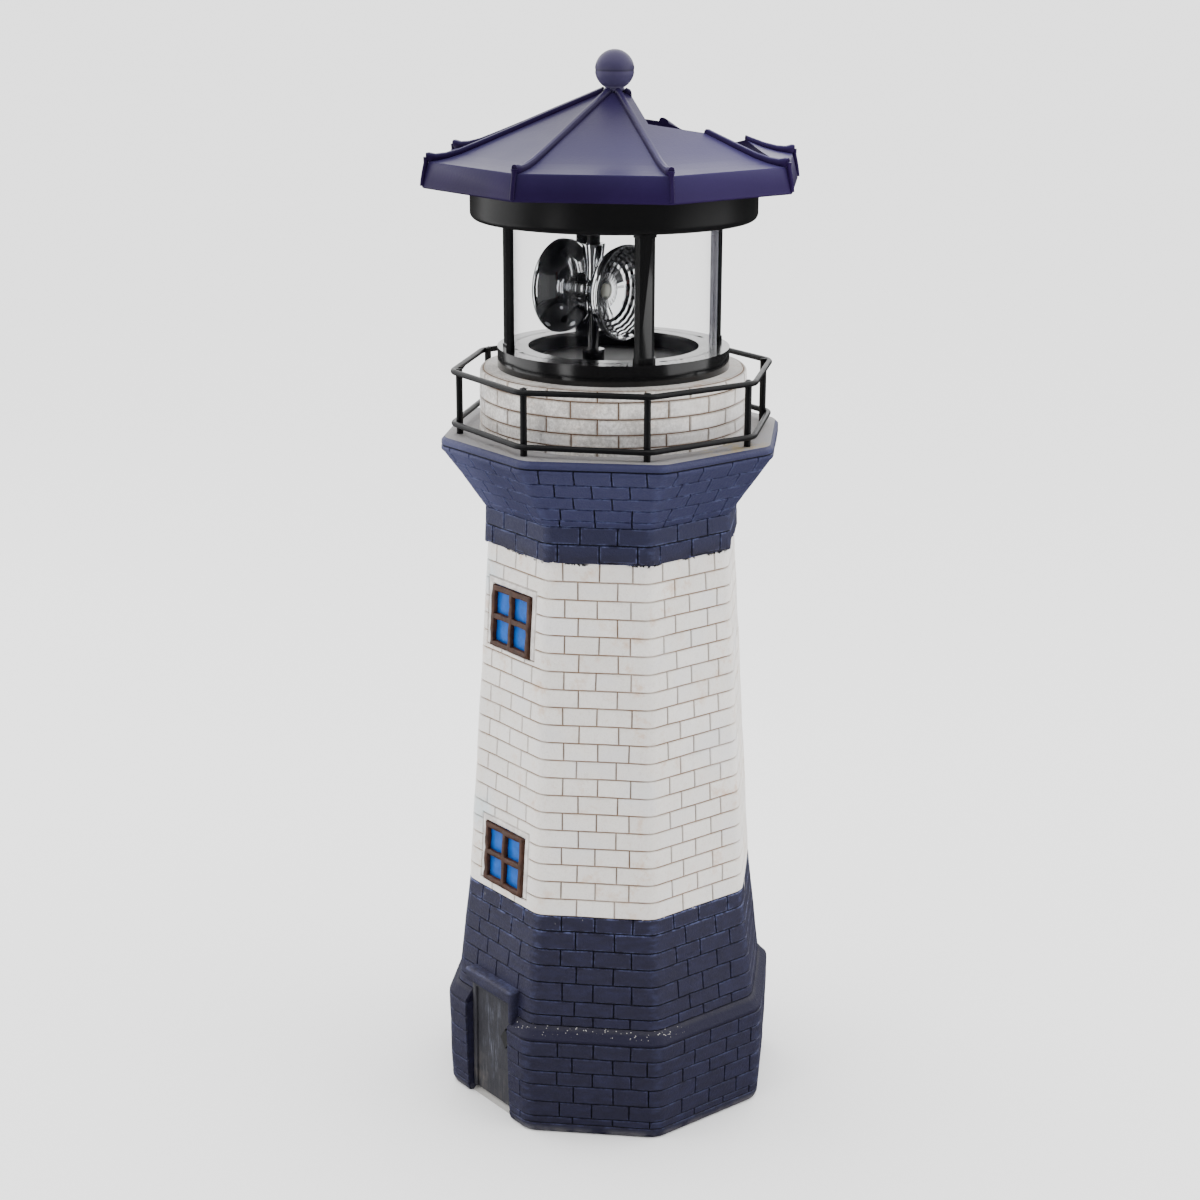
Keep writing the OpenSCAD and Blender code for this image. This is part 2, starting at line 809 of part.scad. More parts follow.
module roof_shell() {
    color(roof_blue)
        difference() {
            roof_outside();
            difference() {
                roof_hollow();
                recess_block(roof_wall);
                at_roof_screws()
                    translate([0, 0, soffit_z + soffit_t])
                        cylinder(h = steep_h, r = roof_boss_r);
            }
            recess_block(0);
            translate([0, 0, apex_z - finial_pin_l - 2])
                cylinder(h = finial_pin_l + 3, r = finial_pin_r + screw_gap);
            translate([0, 0, apex_z])
                cylinder(h = rib_h + finial_neck_h, r = finial_neck_r + screw_gap);
            at_roof_screws()
                translate([0, 0, soffit_z - over])
                    cylinder(h = soffit_t + 4 + over, r = screw_r + screw_gap);
            rotate(recess_dir)
                translate([panel_lead_u, 0, recess_z - roof_wall - over])
                    cylinder(h = roof_wall + 2 * over, r = lead_hole, $fn = 24);
        }
}

// A pan-head screw whose head lies under z = 0 and whose shank points up
module screw_up(length) {
    translate([0, 0, -screw_head_h])
        difference() {
            cylinder(h = screw_head_h, r = screw_head_r, $fn = 32);
            for (a = [0, 90])
                rotate(a)
                    translate([-1.4, -0.3, -over])
                        cube([2.8, 0.6, over + 0.6]);
        }
    cylinder(h = length, r = screw_r, $fn = 32);
}

module roof_screws() {
    color(steel)
        at_roof_screws()
            translate([0, 0, soffit_z])
                screw_up(soffit_t + 3.6);
}

module finial() {
    color("#4b4a80") {
        translate([0, 0, apex_z + finial_neck_h + ball_r * 0.84])
            sphere(r = ball_r);
        translate([0, 0, apex_z])
            cylinder(h = finial_neck_h + 2, r = finial_neck_r);
        translate([0, 0, apex_z - finial_pin_l])
            cylinder(h = finial_pin_l + 1, r = finial_pin_r);
    }
}

module solar_panel() {
    color("#0d1330")
        rotate(recess_dir)
            translate([recess_in + panel_gap, -recess_w / 2 + panel_gap, recess_z])
                cube([recess_l - 2 * panel_gap, recess_w - 2 * panel_gap, panel_t]);
}

module panel_lead() {
    color("#8c1f1f")
        rotate(recess_dir)
            translate([panel_lead_u, 0, board_z + board_t])
                cylinder(h = recess_z - board_z - board_t, r = lead_r, $fn = 24);
}

module control_board() {
    color("#1f6b3a")
        translate([board_mid[0] - board_l / 2, board_mid[1] - board_w / 2, board_z])
            cube([board_l, board_w, board_t]);
    color(black) {
        translate(at_height(board_mid + chip_at, board_z + board_t - 0.1))
            cube(chip);
        translate(at_height(board_mid + capacitor_at, board_z + board_t - 0.1))
            cylinder(h = capacitor_h, r = capacitor_r);
    }
}

module lamp_stem() {
    color(black) {
        translate(at_height(beacon, reflector_mid + 6))
            cylinder(h = board_z - reflector_mid - 6, r = stem_r);
        translate(at_height(beacon, housing_z - 1.5))
            cylinder(h = 1.5, r = 2 * stem_r);
    }
}

module led_lamp() {
    color("#f4f2dc", 0.7)
        translate(at_height(beacon, reflector_mid - 1)) {
            cylinder(h = 7, r = led_r);
            sphere(r = led_r);
        }
}

module post_lead() {
    top = housing_z + housing_wall + 1;
    bottom = cup_floor + switch_h + 0.6;
    color("#8c1f1f")
        rotate(lead_dir) {
            lead([lead_out_r, 0, lead_turn_z], [lead_out_r, 0, top], lead_r);
            lead([lead_in_r, 0, lead_turn_z], [lead_out_r, 0, lead_turn_z], lead_r);
            lead([lead_in_r, 0, bottom + 8], [lead_in_r, 0, lead_turn_z], lead_r);
            lead([norm(switch_at), 0, bottom], [lead_in_r, 0, bottom + 8], lead_r);
        }
}

module chassis_plate() {
    color(black)
        difference() {
            union() {
                translate([0, 0, seat_z])
                    cylinder(h = chassis_t, r = cup_r + 0.7);
                translate(at_height(beacon, seat_z - 2))
                    cylinder(h = 2 + over, r = spindle_shaft_r + 1.8);
            }
            translate(at_height(beacon, seat_z - 2 - over))
                cylinder(h = chassis_t + 2 + 2 * over, r = spindle_shaft_r + run_gap);
            translate(at_height(idler, seat_z - over))
                cylinder(h = 1 + over, r = idler_pin_r + run_gap);
            for (a = cup_screw_turns)
                rotate(a)
                    translate([cup_screw_c, 0, seat_z - over])
                        cylinder(h = chassis_t + 2 * over, r = screw_r + screw_gap);
            for (p = pillars)
                translate(at_height(p, seat_z - over))
                    cylinder(h = chassis_t + 2 * over, r = screw_r + screw_gap);
            rotate(lead_dir)
                translate([lead_in_r, 0, seat_z - over])
                    cylinder(h = chassis_t + 2 * over, r = lead_hole, $fn = 24);
        }
}

module hatch_outline(grow) {
    intersection() {
        translate([hatch_x, battery_y])
            square([hatch_l + 2 * grow, hatch_w + 2 * grow], center = true);
        circle(r = cup_r - hatch_rim + grow);
    }
}

module base_cup() {
    color(black)
        difference() {
            union() {
                difference() {
                    translate([0, 0, cup_z])
                        cylinder(h = seat_z - cup_z, r = cup_r);
                    translate([0, 0, cup_floor])
                        cylinder(h = seat_z - cup_floor + over, r = cup_in_r);
                }
                for (a = cup_screw_turns)
                    rotate(a)
                        translate([cup_screw_c, 0, cup_z])
                            cylinder(h = seat_z - cup_z, r = cup_boss_r);
                translate([hatch_screw_x, battery_y, cup_z])
                    cylinder(h = cup_wall + hatch_boss_h, r = hatch_boss_r);
            }
            for (a = cup_screw_turns)
                rotate(a)
                    translate([cup_screw_c, 0, 0]) {
                        translate([0, 0, cup_z - over])
                            cylinder(h = cup_head_z + over, r = screw_head_r + screw_gap);
                        cylinder(h = seat_z + over, r = screw_r + screw_gap);
                    }
            translate([0, 0, cup_z - over])
                linear_extrude(hatch_t + over)
                    hatch_outline(hatch_gap);
            translate([hatch_x, battery_y, cup_z])
                linear_extrude(2 * cup_wall, center = true)
                    square([battery_l + 2 * contact_gap, hatch_w - 2 * hatch_lap], center = true);
            translate([hatch_screw_x, battery_y, cup_z - over])
                cylinder(h = hatch_screw_h + over, r = screw_r + screw_gap);
            translate([switch_at[0], switch_at[1], cup_z])
                rotate(lead_dir + 90)
                    cube([knob_l + switch_travel + 1, knob_w + 1, 3 * cup_wall], center = true);
        }
}

module cup_screws() {
    color(steel)
        for (a = cup_screw_turns)
            rotate(a)
                translate([cup_screw_c, 0, cup_z + cup_head_z])
                    screw_up(cup_screw_top - cup_z - cup_head_z - 0.3);
}

// ---------- gearbox ----------

module gearbox_plate() {
    color("#2a2a2e")
        difference() {
            union() {
                intersection() {
                    translate(at_height(gearbox_mid, gearbox_z))
                        cylinder(h = gearbox_t, r = gearbox_r);
                    translate([0, 0, gearbox_z])
                        cylinder(h = gearbox_t, r = cup_in_r - 1);
                }
                for (p = pillars)
                    translate(at_height(p, gearbox_z))
                        cylinder(h = seat_z - gearbox_z, r = pillar_r);
                translate(at_height(beacon, gearbox_z))
                    cylinder(h = first_z - gearbox_z, r = spindle_shaft_r + 1.4);
            }
            for (a = cup_screw_turns)
                rotate(a)
                    translate([cup_screw_c, 0, gearbox_z - over])
                        cylinder(h = gearbox_t + 2 * over, r = cup_boss_r + 0.4);
            for (p = pillars)
                translate(at_height(p, gearbox_z + gearbox_t))
                    cylinder(h = seat_z - gearbox_z, r = screw_r + screw_gap);
            translate(at_height(beacon, gearbox_z - over))
                cylinder(h = first_z - gearbox_z + 2 * over, r = spindle_shaft_r + run_gap);
            translate(at_height(idler, gearbox_z - over))
                cylinder(h = gearbox_t + 2 * over, r = idler_pin_r);
            translate(at_height(motor, gearbox_z - over))
                cylinder(h = gearbox_t + 2 * over, r = motor_shaft_r + 0.6);
            rotate(lead_dir)
                translate([lead_in_r, 0, gearbox_z - over])
                    cylinder(h = gearbox_t + 2 * over, r = 2 * lead_hole, $fn = 24);
        }
}

module gearbox_screws() {
    color(steel)
        for (p = pillars)
            translate(at_height(p, chassis_top))
                mirror([0, 0, 1])
                    screw_up(chassis_t + pillar_screw_h);
}

module idler_pin() {
    color(steel)
        translate(at_height(idler, gearbox_z))
            cylinder(h = seat_z + 1 - gearbox_z, r = idler_pin_r, $fn = 32);
}

module drive_motor() {
    color(steel)
        difference() {
            translate(at_height(motor, gearbox_z - motor_h))
                cylinder(h = motor_h, r = motor_r);
            translate(at_height(motor, gearbox_z - 6))
                cylinder(h = 6 + over, r = motor_shaft_r + run_gap);
        }
}

function inv(a) = tan(a) * 180 / PI - a;

// Half of a tooth's angle at radius r
function tooth_half(n, r) =
    let (
        pitch_r = gear_m * n / 2,
        base_r = pitch_r * cos(pressure_angle),
        half = 90 / n - tooth_backlash / 2 / pitch_r * 180 / PI
    )
    half + inv(pressure_angle) - (r > base_r ? inv(acos(base_r / r)) : 0);

// Outline of a gear with n teeth, with one tooth on the line at angle turn
module gear_outline(n, turn) {
    pitch_r = gear_m * n / 2;
    base_r = pitch_r * cos(pressure_angle);
    tip_r = pitch_r + 0.95 * gear_m;
    root_r = pitch_r - 1.2 * gear_m;
    low_r = max(base_r, root_r);
    radii = concat(root_r < low_r ? [root_r] : [], [for (i = [0:4]) between(low_r, tip_r, i / 4)]);
    last = len(radii) - 1;
    rotate(turn)
        polygon([
            for (k = [0:n - 1], j = [0:2 * last + 1])
                let (i = j <= last ? j : 2 * last + 1 - j)
                polar(radii[i], 360 * k / n + (j <= last ? -1 : 1) * tooth_half(n, radii[i]))
        ]);
}

// Turn of a gear that meshes with a driver of n1 teeth, set at turn1, along direction dir
function mesh_turn(n1, turn1, dir, n2) = dir + 180 - 180 / n2 + (dir - turn1) * n1 / n2;

small_turn = mesh_turn(large_teeth, 0, idler_dir, small_teeth);
pinion_turn = mesh_turn(large_teeth, 0, motor_dir, small_teeth);

module output_gear() {
    color("#e8e4d8")
        translate(at_height(beacon, output_z))
            linear_extrude(gear_w)
                difference() {
                    gear_outline(large_teeth, 0);
                    circle(r = spindle_shaft_r);
                }
}

module idler_gear() {
    color("#e8e4d8")
        translate(at_height(idler, 0))
            difference() {
                union() {
                    translate([0, 0, first_z])
                        linear_extrude(gear_w)
                            gear_outline(large_teeth, 0);
                    translate([0, 0, first_z + gear_w])
                        linear_extrude(output_z - first_z)
                            gear_outline(small_teeth, small_turn);
                }
                translate([0, 0, first_z - over])
                    cylinder(h = 3 * gear_w + 2 * over, r = idler_pin_r + run_gap, $fn = 32);
            }
}

module motor_shaft() {
    color(steel)
        translate(at_height(motor, gearbox_z - 5))
            cylinder(h = first_z + gear_w - gearbox_z + 5, r = motor_shaft_r, $fn = 32);
}

module motor_pinion() {
    color("#b08d3c")
        translate(at_height(motor, first_z))
            linear_extrude(gear_w)
                difference() {
                    gear_outline(small_teeth, pinion_turn);
                    circle(r = motor_shaft_r, $fn = 32);
                }
}

// ---------- beacon ----------

module beacon_spindle() {
    low = reflector_mid - neck_h / 2;
    color(black)
        translate(at_height(beacon, 0)) {
            translate([0, 0, chassis_top + 0.3])
                cylinder(h = collar_h, r = collar_r);
            translate([0, 0, chassis_top + 0.3 + collar_h - 0.1])
                cylinder(h = low - chassis_top - 0.3 - collar_h + 0.1, r = spindle_r);
            translate([0, 0, first_z - 2])
                cylinder(h = chassis_top + 1 - first_z + 2, r = spindle_shaft_r);
        }
}

// Places its children with +Z along the first reflector's line, at the reflectors' centre
module on_reflector(turn) {
    translate(at_height(beacon, reflector_mid))
        rotate([0, 90, beacon_turn + turn])
            children();
}

module reflector_neck() {
    color(chrome)
        difference() {
            translate(at_height(beacon, reflector_mid - neck_h / 2))
                difference() {
                    union() {
                        cylinder(h = neck_h, r = neck_r);
                        translate([0, 0, neck_h - 1])
                            cylinder(h = tube_h + 1, r = tube_r);
                    }
                    translate([0, 0, 2])
                        cylinder(h = neck_h - 3, r = neck_in_r);
                    translate([0, 0, neck_h - 2])
                        cylinder(h = tube_h + 2 + over, r = tube_in_r);
                }
            for (turn = [0, 180])
                on_reflector(turn)
                    cylinder(h = rim_r, r = throat_r);
            for (turn = [0, 180])
                on_reflector(turn)
                    translate([0, 0, neck_r - 0.6])
                        cylinder(h = rim_r, r = neck_r + 2);
        }
}

// Half of the outline of a bell: outer radius at a share of its length, opening like a bowl
function bell_r(t) = between(neck_r * 0.95, rim_r, pow(t, bowl_curve));

// A stepped bell, open at its throat
module bell() {
    start = neck_r - 0.6;
    n = reflector_steps;
    depth = reflector_l - start;
    rotate_extrude()
        polygon(concat(
            [[throat_r, start]],
            [for (i = [0:n]) [bell_r(i / n), start + depth * i / n]],
            [[rim_r - reflector_wall, reflector_l]],
            [
                for (i = [n - 1:-1:0], j = [0, 1])
                    [
                        bell_r((i + (j == 0 ? 0.55 : 0)) / n) - reflector_wall * (i == 0 ? 2 : 1),
                        start + depth * (i + 0.62) / n
                    ]
            ]
        ));
}

module reflector_a() {
    color(chrome) on_reflector(0) bell();
}

module reflector_b() {
    color(chrome) on_reflector(180) bell();
}

// ---------- power ----------

module battery() {
    color("#3f7d52")
        translate([hatch_x - battery_l / 2, battery_y, battery_axis])
            rotate([0, 90, 0]) {
                cylinder(h = battery_l - 1.4, r = battery_r);
                cylinder(h = battery_l, r = 2.6);
            }
}

// The contact beside the hatch screw stands on that screw's boss
function contact_foot(side) = cup_floor + (side > 0 ? hatch_boss_h + contact_clear : 0);

module battery_contacts() {
    color(steel)
        for (side = [-1, 1])
            translate([hatch_x + side * battery_l / 2, battery_y, 0])
                scale([side, 1, 1]) {
                    translate([contact_gap - contact_t, -contact_w / 2, contact_foot(side)])
                        cube([contact_t, contact_w, battery_axis + contact_over - contact_foot(side)]);
                    translate([0, 0, battery_axis])
                        rotate([0, 90, 0])
                            cylinder(h = contact_gap - contact_t, r1 = 1.2, r2 = 3);
                }
}

module switch_body() {
    color(black)
        difference() {
            translate([switch_at[0], switch_at[1], cup_floor + switch_h / 2])
                rotate(lead_dir + 90)
                    cube([switch_l, switch_w, switch_h], center = true);
            translate([switch_at[0], switch_at[1], cup_floor])
                rotate(lead_dir + 90)
                    cube([knob_l + switch_travel + 1, knob_w + 0.6, 3], center = true);
        }
}

module switch_knob() {
    color(white)
        translate([switch_at[0], switch_at[1], cup_z - knob_out])
            rotate(lead_dir + 90)
                translate([-(knob_l + switch_travel) / 2, -knob_w / 2, 0])
                    cube([knob_l, knob_w, knob_out + cup_wall + 1.2]);
}

module battery_door() {
    rib_z = cup_z + hatch_t;
    color(black)
        difference() {
            union() {
                translate([0, 0, cup_z])
                    linear_extrude(hatch_t)
                        hatch_outline(0);
                for (side = [-1, 1])
                    translate([hatch_x + side * battery_l * 0.3 - 1, battery_y - 5, rib_z - 0.1])
                        cube([2, 10, battery_z - battery_r - hatch_t + 1.4]);
            }
            translate([hatch_x - hatch_l, battery_y, battery_axis])
                rotate([0, 90, 0])
                    cylinder(h = 2 * hatch_l, r = battery_r + 0.1);
            translate([hatch_screw_x, battery_y, cup_z - over])
                cylinder(h = hatch_t + 2 * over, r = screw_r + screw_gap);
        }
}

module battery_door_screw() {
    color(steel)
        translate([hatch_screw_x, battery_y, cup_z])
            screw_up(hatch_screw_h - 0.4);
}

tower_body();
door_leaf();
window_frames();
window_panes();
railing_top_rail();
railing_bottom_rail();
railing_posts();
lantern_frame();
lantern_glass();
upper_housing();
roof_shell();
roof_screws();
finial();
solar_panel();
panel_lead();
control_board();
lamp_stem();
led_lamp();
post_lead();
chassis_plate();
base_cup();
cup_screws();
gearbox_plate();
gearbox_screws();
idler_pin();
drive_motor();
switch_body();
battery();
battery_contacts();
beacon_spindle();
output_gear();
reflector_neck();
reflector_a();
reflector_b();
idler_gear();
motor_shaft();
motor_pinion();
switch_knob();
battery_door();
battery_door_screw();
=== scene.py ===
"""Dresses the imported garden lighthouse: painted brick casting, wire railing and solar lantern."""

import functools
import math
import random

import bmesh
import bpy
from bmesh.types import BMEdge, BMFace, BMVert
from bpy.props import FloatProperty, FloatVectorProperty, IntProperty
from mathutils import Matrix, Vector, noise


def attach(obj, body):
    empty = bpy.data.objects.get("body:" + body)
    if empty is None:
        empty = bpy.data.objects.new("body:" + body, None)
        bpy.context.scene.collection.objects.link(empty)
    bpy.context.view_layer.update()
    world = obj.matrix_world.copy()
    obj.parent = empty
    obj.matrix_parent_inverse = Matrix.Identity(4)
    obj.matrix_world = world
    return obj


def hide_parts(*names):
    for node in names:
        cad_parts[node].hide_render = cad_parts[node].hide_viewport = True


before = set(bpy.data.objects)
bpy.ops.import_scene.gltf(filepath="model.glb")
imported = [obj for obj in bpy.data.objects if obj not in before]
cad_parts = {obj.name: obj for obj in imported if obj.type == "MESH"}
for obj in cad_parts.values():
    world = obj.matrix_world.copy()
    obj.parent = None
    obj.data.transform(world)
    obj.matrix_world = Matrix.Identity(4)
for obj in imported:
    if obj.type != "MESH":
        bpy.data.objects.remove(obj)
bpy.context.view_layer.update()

bl_info = {
    "name": "Garden Lighthouse",
    "version": (1, 0, 0),
    "blender": (4, 5, 0),
    "location": "3D View > Sidebar > Lighthouse",
    "description": "Builds the brick casting, the railing and the solar lantern around the packed part",
    "category": "Object",
}

MM = 0.001
FLAT = math.cos(math.radians(22.5))
DOOR_SIDE = 270.0
SIDES = [DOOR_SIDE + 45.0 * i for i in range(8)]


# ---------- settings ----------


def length(name, text, default):
    """A length in metres."""
    return FloatProperty(name=name, description=text, default=default, min=0.0, max=1.0, unit="LENGTH")


def colour(name, text, default):
    """A linear colour."""
    return FloatVectorProperty(
        name=name, description=text, default=default, size=3, min=0.0, max=1.0, subtype="COLOR",
    )


class TowerSettings(bpy.types.PropertyGroup):
    joint_half: length("Half joint", "Half the width of a joint at its bottom", 0.00013)
    joint_slope: length("Joint slope", "Width of a brick's rounded edge", 0.00024)
    joint_depth: length("Joint depth", "How far the joints lie under the brick faces", 0.00052)
    worn_edge: length("Worn edge", "Width of the worn rim on each brick", 0.0008)
    corner_cut: length("Corner cut", "How much of each flat the rounded corners take", 0.0026)
    waviness: length("Waviness", "How far the casting strays from its true shape", 0.0003)
    seed: IntProperty(name="Seed", description="Seed of the bricks' small differences", default=7)
    white: colour("White", "White paint on the shaft and the drum", (0.765, 0.735, 0.700))
    navy: colour("Navy", "Dark blue paint on the base, the band and the corbel", (0.0145, 0.0135, 0.0370))
    dust: colour("Dust", "Grey dust on the ledges", (0.260, 0.254, 0.262))
    stain: colour("Stain", "Brown in the white bricks' joints", (0.195, 0.112, 0.058))


class DoorSettings(bpy.types.PropertyGroup):
    leaf: colour("Leaf", "Slate grey paint of the door", (0.031, 0.031, 0.039))
    frame_paint: colour("Frames", "Brown paint of the window frames", (0.034, 0.0135, 0.0075))
    pane_paint: colour("Panes", "Bright blue paint of the window panes", (0.002, 0.098, 0.46))


class RailingSettings(bpy.types.PropertyGroup):
    wire: length("Wire", "Radius of the rails", 0.001)
    post: length("Post", "Radius of the posts", 0.00115)
    bend: length("Bend", "Radius of the rails' corners", 0.006)
    paint: colour("Paint", "Black paint of the wire", (0.0034, 0.0034, 0.0040))
    rust: colour("Rust", "Rust where the paint has chipped", (0.22, 0.07, 0.025))


class RoofSettings(bpy.types.PropertyGroup):
    rib_width: length("Rib width", "Width of a rib", 0.0025)
    rib_height: length("Rib height", "Height of a rib over the roof", 0.0017)
    paint: colour("Roof", "Navy plastic of the roof", (0.0105, 0.0046, 0.0280))
    # This paler roof colour paints the sheen of the light above on the roof's up-facing slopes.
    sheen_paint: colour("Faded roof", "Sun-faded plastic on the roof's slopes", (0.0265, 0.0215, 0.0680))
    finial_paint: colour("Finial", "Greyed navy plastic of the finial", (0.044, 0.037, 0.082))


class LanternSettings(bpy.types.PropertyGroup):
    plastic: colour("Plastic", "Black plastic of the lantern", (0.0050, 0.0050, 0.0055))
    clear: colour("Clear", "Tint of the clear cylinder's edges", (0.60, 0.59, 0.70))
    bright: colour("Bright", "Metallised plastic of the reflectors", (0.80, 0.81, 0.83))


class StageSettings(bpy.types.PropertyGroup):
    floor: colour("Floor", "Colour of the floor", (0.96, 0.96, 0.96))
    overhead: FloatProperty(
        name="Overhead", description="Strength of the wide light above", default=7.8, min=0.0,
    )
    side_watts: FloatProperty(
        name="Sides", description="Power of each side softbox", default=7.5, min=0.0, subtype="POWER",
    )


# ---------- material board ----------


class Wire:
    """A socket on a material board; arithmetic on it adds Math nodes."""

    def __init__(self, board, socket):
        self.board = board
        self.socket = socket

    def maths(self, operation, *values):
        return self.board.node("ShaderNodeMath", {"operation": operation}, dict(enumerate(values)))[0]

    def __add__(self, other):
        return self.maths("ADD", self, other)

    __radd__ = __add__

    def __sub__(self, other):
        return self.maths("SUBTRACT", self, other)

    def __rsub__(self, other):
        return self.maths("SUBTRACT", other, self)

    def __mul__(self, other):
        return self.maths("MULTIPLY", self, other)

    __rmul__ = __mul__

    def __truediv__(self, other):
        return self.maths("DIVIDE", self, other)

    def __pow__(self, other):
        return self.maths("POWER", self, other)

    def least(self, other):
        return self.maths("MINIMUM", self, other)

    def most(self, other):
        return self.maths("MAXIMUM", self, other)

    def size(self):
        return self.maths("ABSOLUTE", self)

    def fraction(self):
        return self.maths("FRACT", self)

    def rise(self, low, high):
        """0 below low and 1 above high, with a smooth step between; low may be the larger one."""
        settings = {"interpolation_type": "SMOOTHSTEP", "clamp": True}
        return self.board.node("ShaderNodeMapRange", settings, {0: self, 1: low, 2: high, 3: 0.0, 4: 1.0})[0]


class Board:
    """The nodes of one material, around one Principled shader."""

    def __init__(self, name, **constants):
        self.material = bpy.data.materials.new(name)
        self.material.use_nodes = True
        self.tree = self.material.node_tree
        self.tree.nodes.clear()
        self.shader = self.tree.nodes.new("ShaderNodeBsdfPrincipled")
        output = self.tree.nodes.new("ShaderNodeOutputMaterial")
        self.tree.links.new(self.shader.outputs[0], output.inputs[0])
        for key, value in constants.items():
            self.set(key.replace("_", " ").title().replace("Ior", "IOR"), value)
        self._place = None

    def set(self, socket_name, value):
        """Gives one of the shader's sockets a number, a colour or a wire."""
        socket = self.shader.inputs[socket_name]
        if isinstance(value, Wire):
            self.tree.links.new(value.socket, socket)
        elif isinstance(value, (tuple, list)) and len(value) == 3:
            socket.default_value = (*value, 1.0)
        else:
            socket.default_value = value

    def node(self, kind, settings=None, sockets=None):
        """Adds a node, sets it up, then fills its sockets; gives its outputs as wires."""
        made = self.tree.nodes.new(kind)
        for key, value in (settings or {}).items():
            setattr(made, key, value)
        for key, value in (sockets or {}).items():
            socket = made.inputs[key]
            if isinstance(value, Wire):
                self.tree.links.new(value.socket, socket)
            elif socket.type == "RGBA" and len(value) == 3:
                socket.default_value = (*value, 1.0)
            else:
                socket.default_value = value
        return [Wire(self, output) for output in made.outputs]

    def place(self):
        """Object coordinates, in metres."""
        if self._place is None:
            self._place = self.node("ShaderNodeTexCoord")[3]
        return self._place

    def axes(self):
        """The three object coordinates as wires."""
        return self.node("ShaderNodeSeparateXYZ", None, {0: self.place()})

    def upright(self, squeeze):
        """Object coordinates squeezed in height, which draws a noise out downwards when under 1."""
        return self.node("ShaderNodeMapping", None, {0: self.place(), 3: (1.0, 1.0, squeeze)})[0]

    def noise(self, grain_mm, detail=3.0, rough=0.5, place=None):
        """Soft noise between 0 and 1, with grains of a size in millimetres."""
        where = place or self.place()
        sockets = {"Vector": where, "Scale": 1.0 / (grain_mm * MM), "Detail": detail, "Roughness": rough}
        return self.node("ShaderNodeTexNoise", None, sockets)[0]

    def specks(self, spacing_mm, radius_mm, share):
        """Small round spots in a share of the cells, 1 inside and 0 outside."""
        sockets = {"Vector": self.place(), "Scale": 1.0 / (spacing_mm * MM)}
        cells = self.node("ShaderNodeTexVoronoi", None, sockets)
        chance = self.node("ShaderNodeSeparateColor", None, {0: cells[1]})[0]
        reach = radius_mm / spacing_mm
        return cells[0].rise(reach, reach * 0.6) * chance.rise(1.0 - share, 1.0 - share * 0.9)

    def corner(self, width_deg):
        """1 on the eight corners of the casting and 0 on its flats."""
        x, y, _ = self.axes()
        turn = (y.maths("ARCTAN2", y, x) * (4.0 / math.pi) + 4.5).fraction()
        return (turn - 0.5).size().rise(0.5 - width_deg / 45.0, 0.5)

    def mix(self, factor, first, second):
        """One colour laid over another by a factor."""
        return self.node("ShaderNodeMix", {"data_type": "RGBA"}, {0: factor, 6: first, 7: second})[2]

    def attribute(self, name):
        """A value stored on the mesh."""
        return self.node("ShaderNodeAttribute", {"attribute_name": name})[2]

    def up(self):
        """How far the surface faces up: 1 on a floor, 0 on a wall."""
        normal = self.node("ShaderNodeNewGeometry")[1]
        return self.node("ShaderNodeSeparateXYZ", None, {0: normal})[2]

    def finish(self, base, rough, height, distance_mm, strength):
        """Sets the colour, the roughness and the fine relief; gives the material."""
        self.set("Base Color", base)
        self.set("Roughness", rough)
        sockets = {"Height": height, "Distance": distance_mm * MM, "Strength": strength}
        self.set("Normal", self.node("ShaderNodeBump", None, sockets)[0])
        return self.material


# ---------- finishes ----------


def scaled(paint, factor):
    """A paint made lighter or darker."""
    return tuple(min(1.0, part * factor) for part in paint)


def drips(board):
    """Noise drawn out downwards, as paint runs."""
    return board.noise(2.6, 3.0, 0.6, board.upright(0.22))


